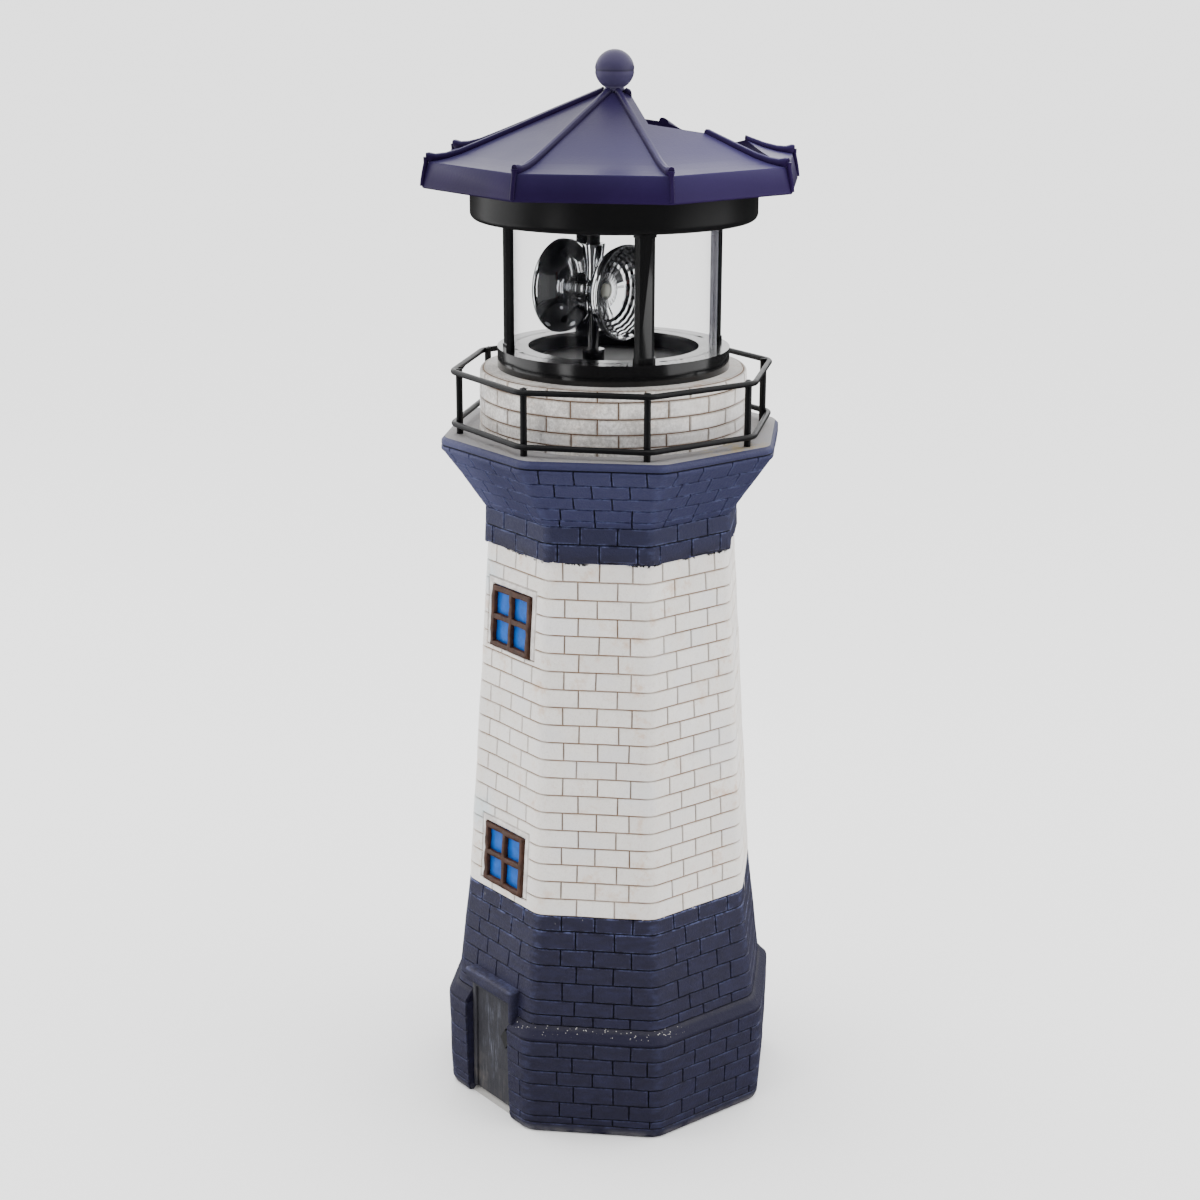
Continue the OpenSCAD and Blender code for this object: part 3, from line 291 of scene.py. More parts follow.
def white_paint(board, settings, fine, blotch):
    """Chalky white with thin brown joints, tan stains, a faint blue wash by the windows, and painted shade:
    darker brick rims, grime laid thickest on the drum's front, and a black line under the band.
    """
    x, y, z = board.axes()
    white = tuple(settings.white)
    shade = (blotch * 0.6 + board.attribute("tone") * 0.5).rise(0.25, 0.95)
    body = board.mix(shade, scaled(white, 0.93), scaled(white, 1.03))
    grain = board.noise(0.55, 2.0, 0.6)
    body = board.mix(grain.rise(0.46, 0.72) * 0.20, body, (0.46, 0.40, 0.35))
    edge = board.attribute("edge")
    # Painted shade: the rims of the bricks are darkened, as shade along the joints.
    body = board.mix(edge.rise(0.1, 1.0) * 0.16, body, (0.46, 0.39, 0.32))
    mottle = board.noise(1.7, 3.0, 0.7)
    body = board.mix(mottle.rise(0.50, 0.70) * 0.20, body, (0.47, 0.42, 0.38))
    cast = board.noise(16.0, 2.0)
    body = board.mix(cast.rise(0.50, 0.72) * 0.35, body, (0.66, 0.67, 0.72))
    door_corner = (x + 0.018).size().rise(0.016, 0.002) * y.rise(-0.036, -0.044)
    tan = board.noise(6.0, 4.0, 0.7).rise(0.50, 0.70) * cast.rise(0.56, 0.38).most(door_corner * 0.8)
    body = board.mix(tan * 0.58, body, (0.56, 0.37, 0.24))
    drum = z.rise(0.2409, 0.2413)
    # Grime and painted shade: grey-brown blotches on the drum, laid thinner on the side toward the right
    # softbox and thicker elsewhere, where shade falls.
    shaded = 0.35 + 0.65 * (x + 0.6 * y).rise(0.046, 0.030)
    drum_grime_and_shade = (blotch * 0.5 + fine * 0.5).rise(0.38, 0.62) * shaded
    body = board.mix(drum * drum_grime_and_shade * 0.62, body, (0.27, 0.25, 0.235))
    # Painted shade: the drum bricks' rims are darkened further, as shade along the joints.
    body = board.mix(drum * edge * 0.45, body, (0.24, 0.19, 0.15))
    faded = board.noise(22.0, 2.0).rise(0.30, 0.55) * 0.35 + 0.65
    on_corner = board.corner(4.0) * z.rise(0.2410, 0.2400)
    level = (((z - 0.0799) / 0.0062).fraction() - 0.5).size().rise(0.42, 0.45) * (1.0 - drum)
    light_gap = level * 0.7 + blotch.rise(0.35, 0.7) * 0.3
    gap = board.mix(light_gap, scaled(settings.stain, 0.62), scaled(settings.stain, 1.35))
    line = board.attribute("joint").rise(0.50, 0.92) * faded * (1.0 - on_corner * 0.45)
    body = board.mix(line * 0.96, body, gap)
    for opening in WINDOWS:
        beside = (x - opening.left + 0.004).size().rise(0.012, 0.002)
        above = (z - opening.high - 0.003).size().rise(0.010, 0.001)
        wash = beside * above * y.rise(-0.030, -0.036) * blotch.rise(0.25, 0.6)
        body = board.mix(wash * 0.35, body, (0.42, 0.62, 0.72))
    # Painted shadow: a ragged black line, in places, under the band's overhanging lower edge.
    in_places = board.noise(9.0, 2.0).rise(0.47, 0.53)
    painted_shadow_under_band = (z + (fine - 0.5) * 0.0032).rise(0.2034, 0.2037) * z.rise(0.2056, 0.2050) * in_places
    body = board.mix(painted_shadow_under_band, body, (0.004, 0.004, 0.008))
    over_navy = (z - (drips(board) - 0.5) * 0.0012).rise(0.0799, 0.0795)
    return board.mix(over_navy * 0.9, body, tuple(settings.navy))


def navy_paint(board, settings, fine, blotch):
    """Dark navy with black joints, light blue brushed over the bricks' upper edges."""
    x, y, z = board.axes()
    navy = tuple(settings.navy)
    strokes = board.noise(5.0, 4.0, 0.6, board.upright(3.0))
    shade = (strokes * 0.8 + board.attribute("tone") * 0.10).rise(0.25, 0.85)
    body = board.mix(shade, scaled(navy, 0.88), (0.0165, 0.0165, 0.0540))
    near_white = z.rise(0.056, 0.079).most(z.rise(0.1900, 0.2046))
    high = z.rise(0.2040, 0.2100)
    body = board.mix(high * 0.75, body, (0.0150, 0.0165, 0.0560))
    flare = z.rise(0.2150, 0.2190)
    body = board.mix(flare * 0.55, body, (0.0250, 0.0270, 0.0880))
    # Painted sheen: the corbel is painted lighter blue on its door side and to the left, for the light it
    # catches there.
    painted_corbel_sheen = flare * x.rise(0.006, -0.020) * y.rise(0.0, -0.03)
    body = board.mix(painted_corbel_sheen * 0.55, body, (0.062, 0.066, 0.150))
    edge = board.attribute("edge")
    joint = board.attribute("joint")
    above = board.up().rise(0.10, 0.55) * joint.rise(0.98, 0.60)
    patchy = (fine * 0.5 + strokes * 0.7).rise(0.50, 0.78)
    lip = z.rise(0.2375, 0.2390)
    brushed = (edge * 0.60 + above * 0.90).least(1.0) * patchy * (0.24 + near_white * 0.76)
    brushed = brushed * (1.0 - lip) * (1.0 - flare * 0.45)
    body = board.mix(brushed, body, (0.115, 0.135, 0.290))
    corner = board.corner(3.0) * strokes.rise(0.42, 0.66) * (0.14 + near_white * 0.16)
    body = board.mix(corner * joint.rise(0.5, 0.1), body, (0.050, 0.062, 0.155))
    body = board.mix(joint.rise(0.62, 0.98) * 0.92, body, (0.0022, 0.0022, 0.0060))
    low_wear = z.rise(0.0034, 0.0006) * blotch.rise(0.30, 0.62) * joint.rise(0.7, 0.3)
    low_wear = low_wear * board.up().rise(0.60, 0.25)
    body = board.mix(low_wear * 0.7, body, (0.14, 0.135, 0.14))
    runs = drips(board).rise(0.66, 0.70) * z.rise(0.0745, 0.0800) * z.rise(0.0812, 0.0806)
    body = board.mix(runs * 0.6, body, tuple(settings.white))
    return board.mix(board.specks(5.0, 0.28, 0.035) * 0.7, body, (0.38, 0.37, 0.40))


def ledge_paint(board, settings, fine, blotch):
    """Navy under grey dust, with white grains; tan dirt in patches on the gallery."""
    x, y, z = board.axes()
    dust = tuple(settings.dust)
    gallery = z.rise(0.20, 0.21)
    cover = (blotch * 0.6 + fine * 0.5 + gallery * 0.14).rise(0.30, 0.66)
    on_rim = z.rise(0.0385, 0.0396) * 0.30
    base = board.mix(gallery, scaled(settings.navy, 0.72), tuple(settings.navy))
    body = board.mix(cover * on_rim, base, scaled(dust, 0.20))
    body = board.mix(cover * gallery, body, dust)
    body = board.mix(gallery * fine.rise(0.55, 0.75) * 0.5, body, (0.30, 0.29, 0.28))
    on_front = (x - y).rise(0.062, 0.072) * z.rise(0.0372, 0.0385) * (1.0 - gallery)
    grains = board.specks(0.9, 0.22, 0.55) * (on_front * 0.8).most(gallery * 0.4) * blotch.rise(0.30, 0.50)
    body = board.mix(grains, body, (0.62, 0.60, 0.56))
    patch = (x - 0.0500).size().rise(0.016, 0.004) * (y - 0.0110).size().rise(0.016, 0.004)
    tan = board.noise(4.0, 4.0, 0.65).rise(0.46, 0.62) * (patch + 0.10) * gallery
    return board.mix(tan * 0.85, body, (0.34, 0.27, 0.15))


PAINTS = {"white": white_paint, "navy": navy_paint, "ledge": ledge_paint}


def brick_paint(name, settings, kind):
    """Matt paint on cast bricks, fine-grained and a little uneven."""
    board = Board(name, specular_ior_level=0.18 if kind == "ledge" else 0.35)
    fine = board.noise(1.1, 4.0, 0.6)
    blotch = board.noise(9.0, 3.0, 0.55)
    rough = (0.70 if kind == "white" else 0.52) + fine * 0.22
    relief = fine * 0.8 + blotch * 1.2 + board.noise(0.5, 2.0) * 0.8
    return board.finish(PAINTS[kind](board, settings, fine, blotch), rough, relief, 0.26, 0.8)


def plain_resin(name):
    """Bare grey resin on the inside of the casting."""
    board = Board(name, specular_ior_level=0.25)
    cloud = board.noise(14.0, 4.0)
    body = board.mix(cloud, (0.30, 0.29, 0.28), (0.42, 0.41, 0.39))
    return board.finish(body, 0.75 + cloud * 0.15, board.noise(2.0, 3.0), 0.3, 0.6)


def moulded(name, base, rough=0.35, speck=0.0, gloss=0.5):
    """Moulded plastic with faint cloudiness and a fine skin."""
    board = Board(name, specular_ior_level=gloss)
    cloud = board.noise(11.0, 3.0)
    fine = board.noise(0.7, 2.0)
    body = board.mix(cloud, scaled(base, 0.86), scaled(base, 1.12))
    if speck:
        body = board.mix(board.specks(5.0, 0.22, speck) * 0.6, body, (0.45, 0.44, 0.50))
    return board.finish(body, rough - 0.05 + cloud * 0.12, fine + cloud * 1.5, 0.02, 0.6)


def metal(name, base, rough=0.28):
    """Bare or metallised metal with faint clouds and fine grain."""
    board = Board(name, metallic=1.0)
    cloud = board.noise(4.0, 3.0)
    lines = board.noise(0.8, 2.0)
    body = board.mix(cloud, scaled(base, 0.86), tuple(base))
    return board.finish(body, rough + lines * 0.08, lines, 0.01, 0.5)


# ---------- shape helpers ----------


def mesh_of(bm, name):
    """Turns a bmesh into a mesh; the bmesh is used up."""
    mesh = bpy.data.meshes.new(name)
    bm.to_mesh(mesh)
    bm.free()
    return mesh


def placed(name, data):
    """A new object in the scene."""
    item = bpy.data.objects.new(name, data)
    bpy.context.scene.collection.objects.link(item)
    return item


def evaluated_mesh(item):
    """The mesh of an object with its curves and modifiers worked out."""
    return bpy.data.meshes.new_from_object(item.evaluated_get(bpy.context.evaluated_depsgraph_get()))


def finished(name, bm, body, materials, node, smooth):
    """Turns a bmesh into a named piece that replaces a CAD node and rides on a body."""
    mesh = mesh_of(bm, name)
    for face in mesh.polygons:
        face.use_smooth = True
    mesh.set_sharp_from_angle(angle=math.radians(smooth))
    piece = placed(name, mesh)
    for material in materials:
        mesh.materials.append(material)
    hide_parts(node)
    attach(piece, body)
    return piece


def verts_of(made):
    """The vertices among what a bmesh step made."""
    return [item for item in made["geom"] if isinstance(item, BMVert)]


def edges_of(made):
    """The edges among what a bmesh step made."""
    return [item for item in made["geom"] if isinstance(item, BMEdge)]


def faces_of(made):
    """The faces among what a bmesh step made."""
    return [item for item in made["geom"] if isinstance(item, BMFace)]


def faces_around(verts):
    """The faces that touch some vertices, each once."""
    return list(dict.fromkeys(face for vert in verts for face in vert.link_faces))


def edges_around(verts):
    """The edges that touch some vertices, each once."""
    return list(dict.fromkeys(edge for vert in verts for edge in vert.link_edges))


def face_outwards(bm):
    """Turns all faces to the outside."""
    bmesh.ops.recalc_face_normals(bm, faces=bm.faces)


def turned(degrees, axis="Z"):
    """A turn about an axis through the origin."""
    return Matrix.Rotation(math.radians(degrees), 4, axis)


def metres(points):
    """Radius and height in mm, turned into metres."""
    return [(radius * MM, z * MM) for radius, z in points]


def rounded(bm, geom, offset, segments=2, affect="EDGES"):
    """Rounds edges or corners by a width in metres."""
    bmesh.ops.bevel(
        bm, geom=geom, offset=offset, offset_type="OFFSET", segments=segments,
        profile=0.5, affect=affect, material=-1,
    )


def stepped_grid(bm, across, up, y):
    """An upright grid of 3 by 2 cells, with its lines at given places in metres."""
    bmesh.ops.create_grid(bm, x_segments=3, y_segments=2, size=1.0)
    for vert in bm.verts:
        column = round((vert.co.x + 1.0) * 1.5)
        row = round(vert.co.y + 1.0)
        vert.co = Vector((across[column], y, up[row]))


def eight_sided_ring(bm, radius, z, corner_cut, segments=4, turn=22.5):
    """A wire octagon with rounded corners; gives its edges."""
    matrix = Matrix.Translation((0, 0, z)) @ turned(turn)
    made = bmesh.ops.create_circle(bm, cap_ends=True, segments=8, radius=radius, matrix=matrix)
    corners = made["verts"]
    if corner_cut > 0:
        rounded(bm, corners, corner_cut, segments, "VERTICES")
    cap = [face for face in bm.faces if abs(face.calc_center_median().z - z) < 1e-7]
    bmesh.ops.delete(bm, geom=cap, context="FACES_ONLY")
    return [edge for edge in bm.edges if not edge.link_faces]


def drawn_ring(bm, edges, levels, start):
    """Draws a ring of edges through (radius, height) levels; gives the last ring's edges."""
    last = start[0]
    for radius, z in levels:
        made = bmesh.ops.extrude_edge_only(bm, edges=edges)
        ring = verts_of(made)
        factor = radius / last
        bmesh.ops.scale(bm, vec=(factor, factor, 1.0), verts=ring)
        for vert in ring:
            vert.co.z = z
        edges = edges_of(made)
        last = radius
    return edges


def outline_at(levels, z):
    """Corner radius at a height on a list of (radius, height) levels."""
    for (r1, z1), (r2, z2) in zip(levels, levels[1:]):
        if z1 <= z <= z2 and z2 > z1:
            return r1 + (r2 - r1) * (z - z1) / (z2 - z1)
    return levels[-1][0]


def cut(bm, faces, point, normal, snap=0.0004):
    """Cuts some faces with a plane; gives the faces on both sides of it."""
    parts = dict.fromkeys(faces)
    for face in faces:
        parts.update(dict.fromkeys(face.edges))
        parts.update(dict.fromkeys(face.verts))
    return faces_of(bmesh.ops.bisect_plane(bm, geom=list(parts), dist=snap, plane_co=point, plane_no=normal))


def angle_of(point):
    """Where a point lies round the axis, in degrees."""
    return math.degrees(math.atan2(point.y, point.x)) % 360.0


def along(side):
    """The direction to the right on a side, seen from outside."""
    turn = math.radians(side)
    return Vector((-math.sin(turn), math.cos(turn), 0.0))


def out_of(side):
    """The direction straight out of a side."""
    turn = math.radians(side)
    return Vector((math.cos(turn), math.sin(turn), 0.0))


# ---------- brick casting ----------

CASTING = [  # corner radius and height in mm, from the ground to the gallery's edge
    (58.9, 0.0), (60.0, 0.8), (60.6, 2.2), (60.7, 3.7), (61.55, 35.4), (61.3, 36.4), (60.5, 37.1),
    (57.9, 40.3), (53.04, 79.9), (44.72, 204.6), (45.9, 204.65), (45.5, 216.7),
    (59.6, 236.5), (60.5, 237.4), (60.5, 240.1), (59.7, 240.9),
]
INSIDE = [  # from the gallery's floor down the hollow to the ground
    (40.0, 235.4), (46.7, 235.4), (39.2, 217.4), (39.2, 204.9), (47.5, 80.2), (52.3, 40.3), (52.3, 0.0),
]
WIDE = (-11.5, 0.0, 11.4)
NARROW = (-6.4, 7.0)


def brick_courses():
    """Bottom, top, joints and paint of each course, in mm, from the ground up."""
    foot = [(0.0, 3.7, (), "navy")]
    plinth_joints = [3.7, 6.4, 12.2, 18.8, 24.1, 29.8, 35.4]
    patterns = [(-12.0, 0.0, 13.3), (-6.7, 7.0, 19.5)]
    plinth = [
        (low, high, patterns[(i + 1) % 2], "navy")
        for i, (low, high) in enumerate(zip(plinth_joints, plinth_joints[1:]))
    ]
    rim = [(35.4, 40.3, (), "ledge")]
    navy_joints = [40.3, 44.0, 49.3, 55.8, 61.9, 67.8, 74.4, 79.9]
    navy = [
        (low, high, ((-11.5, -0.4, 13.2), (-6.5, 7.0))[i % 2], "navy")
        for i, (low, high) in enumerate(zip(navy_joints, navy_joints[1:]))
    ]
    white_joints = [79.9 + 6.2 * i for i in range(20)] + [204.6]
    white = [
        (low, high, (NARROW, WIDE)[i % 2], "white")
        for i, (low, high) in enumerate(zip(white_joints, white_joints[1:]))
    ]
    band = [(204.6, 210.6, (-13.2, 0.0, 13.2), "navy"), (210.6, 216.7, (-5.8, 6.8), "navy")]
    flare = [
        (216.7, 219.4, (-12.4, -0.6, 11.7), "navy"),
        (219.4, 224.0, (-12.4, -0.6, 11.7), "navy"),
        (224.0, 228.6, (-7.2, 5.8), "navy"),
        (228.6, 233.6, (-13.0, -1.0, 11.0), "navy"),
        (233.6, 238.7, (-17.9, -6.8, 5.9, 17.3), "navy"),
    ]
    lip = [(238.7, 240.9, (), "navy")]
    return foot + plinth + rim + navy + white + band + flare + lip


def course_of(courses, z):
    """The number of the course at a height in mm."""
    for index, (low, high, _, _) in enumerate(courses):
        if low <= z <= high:
            return index
    return 0


class Opening:
    """A rectangle on the door side that is left out of the brickwork, in metres."""

    def __init__(self, x, z, width, height, plaster):
        self.left = x - width / 2
        self.right = x + width / 2
        self.low = z - height / 2
        self.high = z + height / 2
        self.plaster = plaster
        self.upright_lines = sorted({self.left - plaster, self.left, self.right, self.right + plaster})
        self.level_lines = sorted({self.low, self.high, self.high + plaster})

    def holds(self, point, grow=0.0):
        """Whether a point lies in it, or in a rim round its top and sides."""
        inside = self.left - grow < point.x < self.right + grow
        return inside and self.low < point.z < self.high + grow


WINDOWS = [Opening(x, z, 0.0222, 0.0217, 0.0024) for x, z in ((0.0005, 0.0939), (-0.0013, 0.1794))]
DOORWAY = Opening(0.0, 0.0225, 0.0249, 0.045, 0.0)


def lay_joints(bm, courses, layers, rng):
    """Cuts the upright joints of every side and course, and the edges of the openings."""
    table = {}
    for face in bm.faces:
        centre = face.calc_center_median()
        if face.normal.z < -0.9 or face[layers["inner"]]:
            continue
        turn = angle_of(centre)
        side = round((turn - DOOR_SIDE) / 45.0) % 8
        lean = abs((turn - SIDES[side] + 180.0) % 360.0 - 180.0)
        if lean > 2.0:
            continue
        course = course_of(courses, centre.z / MM)
        table.setdefault((side, course), []).append(face)
    joints = {}
    for (side, course), faces in sorted(table.items(), key=lambda item: item[0]):
        low, high, pattern, kind = courses[course]
        right = along(SIDES[side])
        places = []
        for x in pattern:
            if side == 0 and high <= 40.4 and abs(x) < 15.0:
                continue
            places.append((x + rng.uniform(-0.5, 0.5)) * MM)
        if side == 0 and 3.0 < high < 36.0 and not places and course % 2:
            places = [-0.0188, 0.0191]
        if kind == "white" or kind == "navy":
            for x in places:
                tilt = (right + Vector((0, 0, rng.uniform(-0.02, 0.02)))).normalized()
                faces = cut(bm, faces, right * x + Vector((0, 0, (low + high) / 2 * MM)), tilt)
        else:
            places = []
        joints[(side, course)] = places
        if side != 0:
            continue
        for opening in WINDOWS + [DOORWAY]:
            if high * MM < opening.low or low * MM > opening.high + opening.plaster:
                continue
            for x in opening.upright_lines:
                faces = cut(bm, faces, Vector((x, 0, 0)), Vector((1, 0, 0)))
            first, last = opening.upright_lines[0], opening.upright_lines[-1]
            for z in opening.level_lines:
                near = [face for face in faces if first < face.calc_center_median().x < last]
                if near and low * MM < z < high * MM:
                    kept = [face for face in faces if face not in set(near)]
                    faces = kept + cut(bm, near, Vector((0, 0, z)), Vector((0, 0, 1)))
    return joints


def name_bricks(bm, courses, joints, layers, rng):
    """Gives every face the number and the tone of its brick; faces outside the bricks get 0.

    The faces come in another order each run, so a brick has another tone each run.
    """
    tones = {}
    numbers = {}
    for face in bm.faces:
        if face[layers["inner"]]:
            continue
        centre = face.calc_center_median()
        course = course_of(courses, centre.z / MM)
        kind = courses[course][3]
        side = round((angle_of(centre) - DOOR_SIDE) / 45.0) % 8
        across = centre.dot(along(SIDES[side]))
        key = (course, "ring")
        if courses[course][2]:
            places = joints.get((side, course), [])
            if not places or across < places[0]:
                key = (course, "corner", side)
            elif across > places[-1]:
                key = (course, "corner", (side + 1) % 8)
            else:
                key = (course, side, sum(across > x for x in places))
            if not places:
                key = (course, "corner", side if across < 0 else (side + 1) % 8)
        if side == 0 and kind == "white":
            for index, opening in enumerate(WINDOWS):
                if opening.holds(centre, opening.plaster):
                    key = ("plaster", index)
        face[layers["brick"]] = numbers.setdefault(key, len(numbers) + 1)
        face[layers["tone"]] = tones.setdefault(key, rng.random())
        face.material_index = {"white": 0, "navy": 1, "ledge": 2}[kind]
        if key[0] == "plaster":
            face.material_index = 4
        if face.normal.z > 0.8 and kind == "navy":
            face.material_index = 2


WORN_SHARE = 0.55  # how much of the worn edge's width the mesh takes


def raised_bricks(bm, settings, layers):
    """Parts the bricks at their joints, sinks the joints, wears the edges and welds all again."""
    brick = layers["brick"]
    seams = []
    for edge in bm.edges:
        if len(edge.link_faces) == 2 and edge.link_faces[0][brick] != edge.link_faces[1][brick]:
            seams.append(edge)
    bmesh.ops.split_edges(bm, edges=seams)
    for vert in bm.verts:
        vert[layers["joint"]] = 1.0
    raised = [face for face in bm.faces if face[brick] > 0]
    inset = functools.partial(
        bmesh.ops.inset_region, bm, faces=raised, use_boundary=True, use_even_offset=True,
    )
    inset(thickness=settings.joint_half, depth=0.0)
    inset(thickness=settings.joint_slope, depth=settings.joint_depth)
    for face in raised:
        for vert in face.verts:
            vert[layers["joint"]] = 0.0
            vert[layers["edge"]] = 1.0
    inset(thickness=settings.worn_edge * WORN_SHARE, depth=0.0)
    for face in raised:
        for vert in face.verts:
            vert[layers["edge"]] = 0.0
    bmesh.ops.remove_doubles(bm, verts=bm.verts, dist=1e-6)


def open_loops(bm, opening):
    """The open edges around an opening."""
    near = []
    for edge in bm.edges:
        if len(edge.link_faces) != 1:
            continue
        middle = (edge.verts[0].co + edge.verts[1].co) / 2
        if middle.y < -0.03 and opening.left - 0.003 < middle.x < opening.right + 0.003:
            if opening.low - 0.003 < middle.z < opening.high + 0.003:
                near.append(edge)
    return near


def clear_of_edges(turn):
    """Moves a joint's angle onto the nearest facet edge of the drum if it lies close to it."""
    edge = round(turn / 5.0) * 5.0
    return edge + 0.01 if abs(turn - edge) < 0.9 else turn


def brick_drum(bm, layers, settings, rng):
    """The round drum under the lantern, as courses of curved bricks."""
    sink = settings.joint_depth
    courses = [(236.5, 244.1), (244.1, 248.3), (248.3, 253.5), (253.5, 259.1), (259.1, 262.5)]
    before = set(bm.faces)  # deleted faces leave gaps in the order, so the new ones aren't simply the last
    middle = Matrix.Translation((0, 0, 0.2625))
    made = bmesh.ops.create_circle(bm, cap_ends=False, segments=72, radius=0.0363, matrix=middle)
    edges = edges_around(made["verts"])
    outer = [(45.6, z) for _, z in courses[:-1]]
    foot = [(36.3, 236.5), (45.9, 236.5), (46.0, 240.9)]
    levels = foot + outer + [(45.5, 261.9), (44.9, 262.5), (36.3, 262.5)]
    levels = [((r - (sink / MM if r > 44 else 0.0)) * MM, z * MM) for r, z in levels]
    drawn_ring(bm, edges, levels, (0.0363, 0.2625))
    faces = [face for face in bm.faces if face not in before]
    seen = [271.2, 293.0, 313.9, 334.3, 354.7]
    even = [354.7 + (271.2 + 360 - 354.7) * i / 13 for i in range(1, 13)]
    offset = [263.6, 282.2, 303.7, 324.2, 344.2, 364.7]
    rest = [364.7 + (263.6 + 360 - 364.7) * i / 13 for i in range(1, 13)]
    first = sorted(a % 360 for a in seen + even)
    second = sorted(a % 360 for a in offset + rest)
    number = 100000
    for index, (low, high) in enumerate(courses):
        angles = [clear_of_edges(a + rng.uniform(-0.5, 0.5)) for a in (first, second)[index % 2]]
        ring = []
        for face in faces:
            centre = face.calc_center_median()
            if low < centre.z / MM < high + 0.01 and centre.xy.length > 0.0405:
                ring.append(face)
        for turn in angles:
            if abs(turn / 5.0 - round(turn / 5.0)) < 0.01:
                continue
            near = [f for f in ring if abs((angle_of(f.calc_center_median()) - turn + 180) % 360 - 180) < 2.5]
            far = [f for f in ring if f not in set(near)]
            axis = along(turn)
            ring = far + (cut(bm, near, Vector((0, 0, 0)), axis) if near else [])
        tones = [rng.random() for _ in range(len(angles) + 1)]
        for face in ring:
            turn = angle_of(face.calc_center_median())
            place = sum(turn > a for a in angles) % len(angles)
            face[layers["brick"]] = number + place
            face[layers["tone"]] = tones[place]
        number += 1000
    for face in bm.faces:
        if face in before:
            continue
        face.material_index = 0
        if face[layers["brick"]] == 0:
            face[layers["inner"]] = 1
            if face.normal.z > 0.9 and face.calc_center_median().z > 0.26:
                face[layers["brick"]] = number
            elif face.calc_center_median().xy.length < 0.040:
                face.material_index = 3


def casting_levels(sink):
    """Outer levels, sunk to the joints, with one at each course joint."""
    joints = [high for _, high, _, _ in brick_courses()]
    heights = sorted({z for _, z in CASTING} | set(joints))
    levels = []
    for z in heights:
        levels.append(((outline_at(CASTING, z) - sink / MM / FLAT) * MM, z * MM))
    return levels


class GARDEN_OT_casting(bpy.types.Operator):
    """Build the painted brick casting"""

    bl_idname = "garden.casting"
    bl_label = "Brick casting"

    def execute(self, context):
        settings = context.scene.garden_tower
        rng = random.Random(settings.seed)
        bm = bmesh.new()
        layers = {
            "tone": bm.faces.layers.float.new("tone"),
            "brick": bm.faces.layers.int.new("brick"),
            "inner": bm.faces.layers.int.new("inner"),
            "joint": bm.verts.layers.float.new("joint"),
            "edge": bm.verts.layers.float.new("edge"),
        }
        courses = brick_courses()
        sink = settings.joint_depth
        edges = eight_sided_ring(bm, 0.040, 0.2409, settings.corner_cut * 0.7)
        edges = drawn_ring(bm, edges, metres(INSIDE), (0.040, 0.2409))
        for face in bm.faces:
            face[layers["inner"]] = 1
            face.material_index = 3
        levels = casting_levels(sink)
        inner_count = len(bm.faces)
        edges = drawn_ring(bm, edges, levels[:1], (0.0523, 0.0))
        bm.faces.ensure_lookup_table()
        for face in bm.faces[inner_count:]:
            face[layers["inner"]] = 1
            face.material_index = 3
        outer_count = len(bm.faces)
        edges = drawn_ring(bm, edges, levels[1:] + [(0.040, 0.2409)], levels[0])
        bm.faces.ensure_lookup_table()
        for face in bm.faces[outer_count:]:
            face[layers["inner"]] = 0
            face.material_index = 0
        bmesh.ops.remove_doubles(bm, verts=bm.verts, dist=1e-6)
        face_outwards(bm)
        joints = lay_joints(bm, courses, layers, rng)
        name_bricks(bm, courses, joints, layers, rng)
        gone = []
        for face in bm.faces:
            centre = face.calc_center_median()
            if face[layers["inner"]] or centre.y > -0.03:
                continue
            if any(opening.holds(centre) for opening in WINDOWS + [DOORWAY]):
                gone.append(face)
        bmesh.ops.delete(bm, geom=gone, context="FACES")
        brick_drum(bm, layers, settings, rng)
        raised_bricks(bm, settings, layers)
        for opening, depth in ((WINDOWS[0], 0.0011), (WINDOWS[1], 0.0011), (DOORWAY, 0.0049)):
            rim = open_loops(bm, opening)
            made = bmesh.ops.extrude_edge_only(bm, edges=rim)
            ring = verts_of(made)
            for vert in ring:
                vert[layers["joint"]] = 0.0
            bmesh.ops.translate(bm, verts=ring, vec=(0, depth, 0))
            if opening is DOORWAY:
                for vert in {vert for edge in rim for vert in edge.verts}:
                    vert[layers["joint"]] = 0.3
                for vert in ring:
                    vert.co.y = -0.0514
                    vert.co.z = max(vert.co.z, 0.002)
            bmesh.ops.holes_fill(bm, edges=edges_of(made), sides=0)
        wavy = settings.waviness
        for vert in bm.verts:
            if vert.co.xy.length < 0.036 or vert[layers["joint"]] > 0.5 and vert.co.z < 1e-5:
                continue
            flow = noise.noise(vert.co * 70.0) + 0.5 * noise.noise(vert.co * 190.0)
            outward = Vector((vert.co.x, vert.co.y, 0.0)).normalized()
            vert.co += outward * (flow - 0.4) * wavy * (1.0 if vert.co.z > 0.004 else 0.3)
            vert.co.z = max(vert.co.z, 0.0)
        face_outwards(bm)
        materials = [
            brick_paint("white_brick_paint", settings, "white"),
            brick_paint("navy_brick_paint", settings, "navy"),
            brick_paint("dusty_ledge_paint", settings, "ledge"),
            plain_resin("bare_resin"),
            window_plaster(settings),
        ]
        piece = finished("brick_casting", bm, "tower", materials, "tower_body", 50.0)
        piece.modifiers.new("even_normals", "WEIGHTED_NORMAL").keep_sharp = True
        make_lintel(materials[1])
        return {"FINISHED"}


def window_plaster(settings):
    """Greyed white on the smooth surround of each window."""
    board = Board("window_plaster", specular_ior_level=0.3)
    cloud = board.noise(3.0, 4.0)
    body = board.mix(cloud.rise(0.3, 0.75), (0.50, 0.47, 0.45), tuple(settings.white))
    return board.finish(body, 0.7 + cloud * 0.15, cloud, 0.25, 0.8)


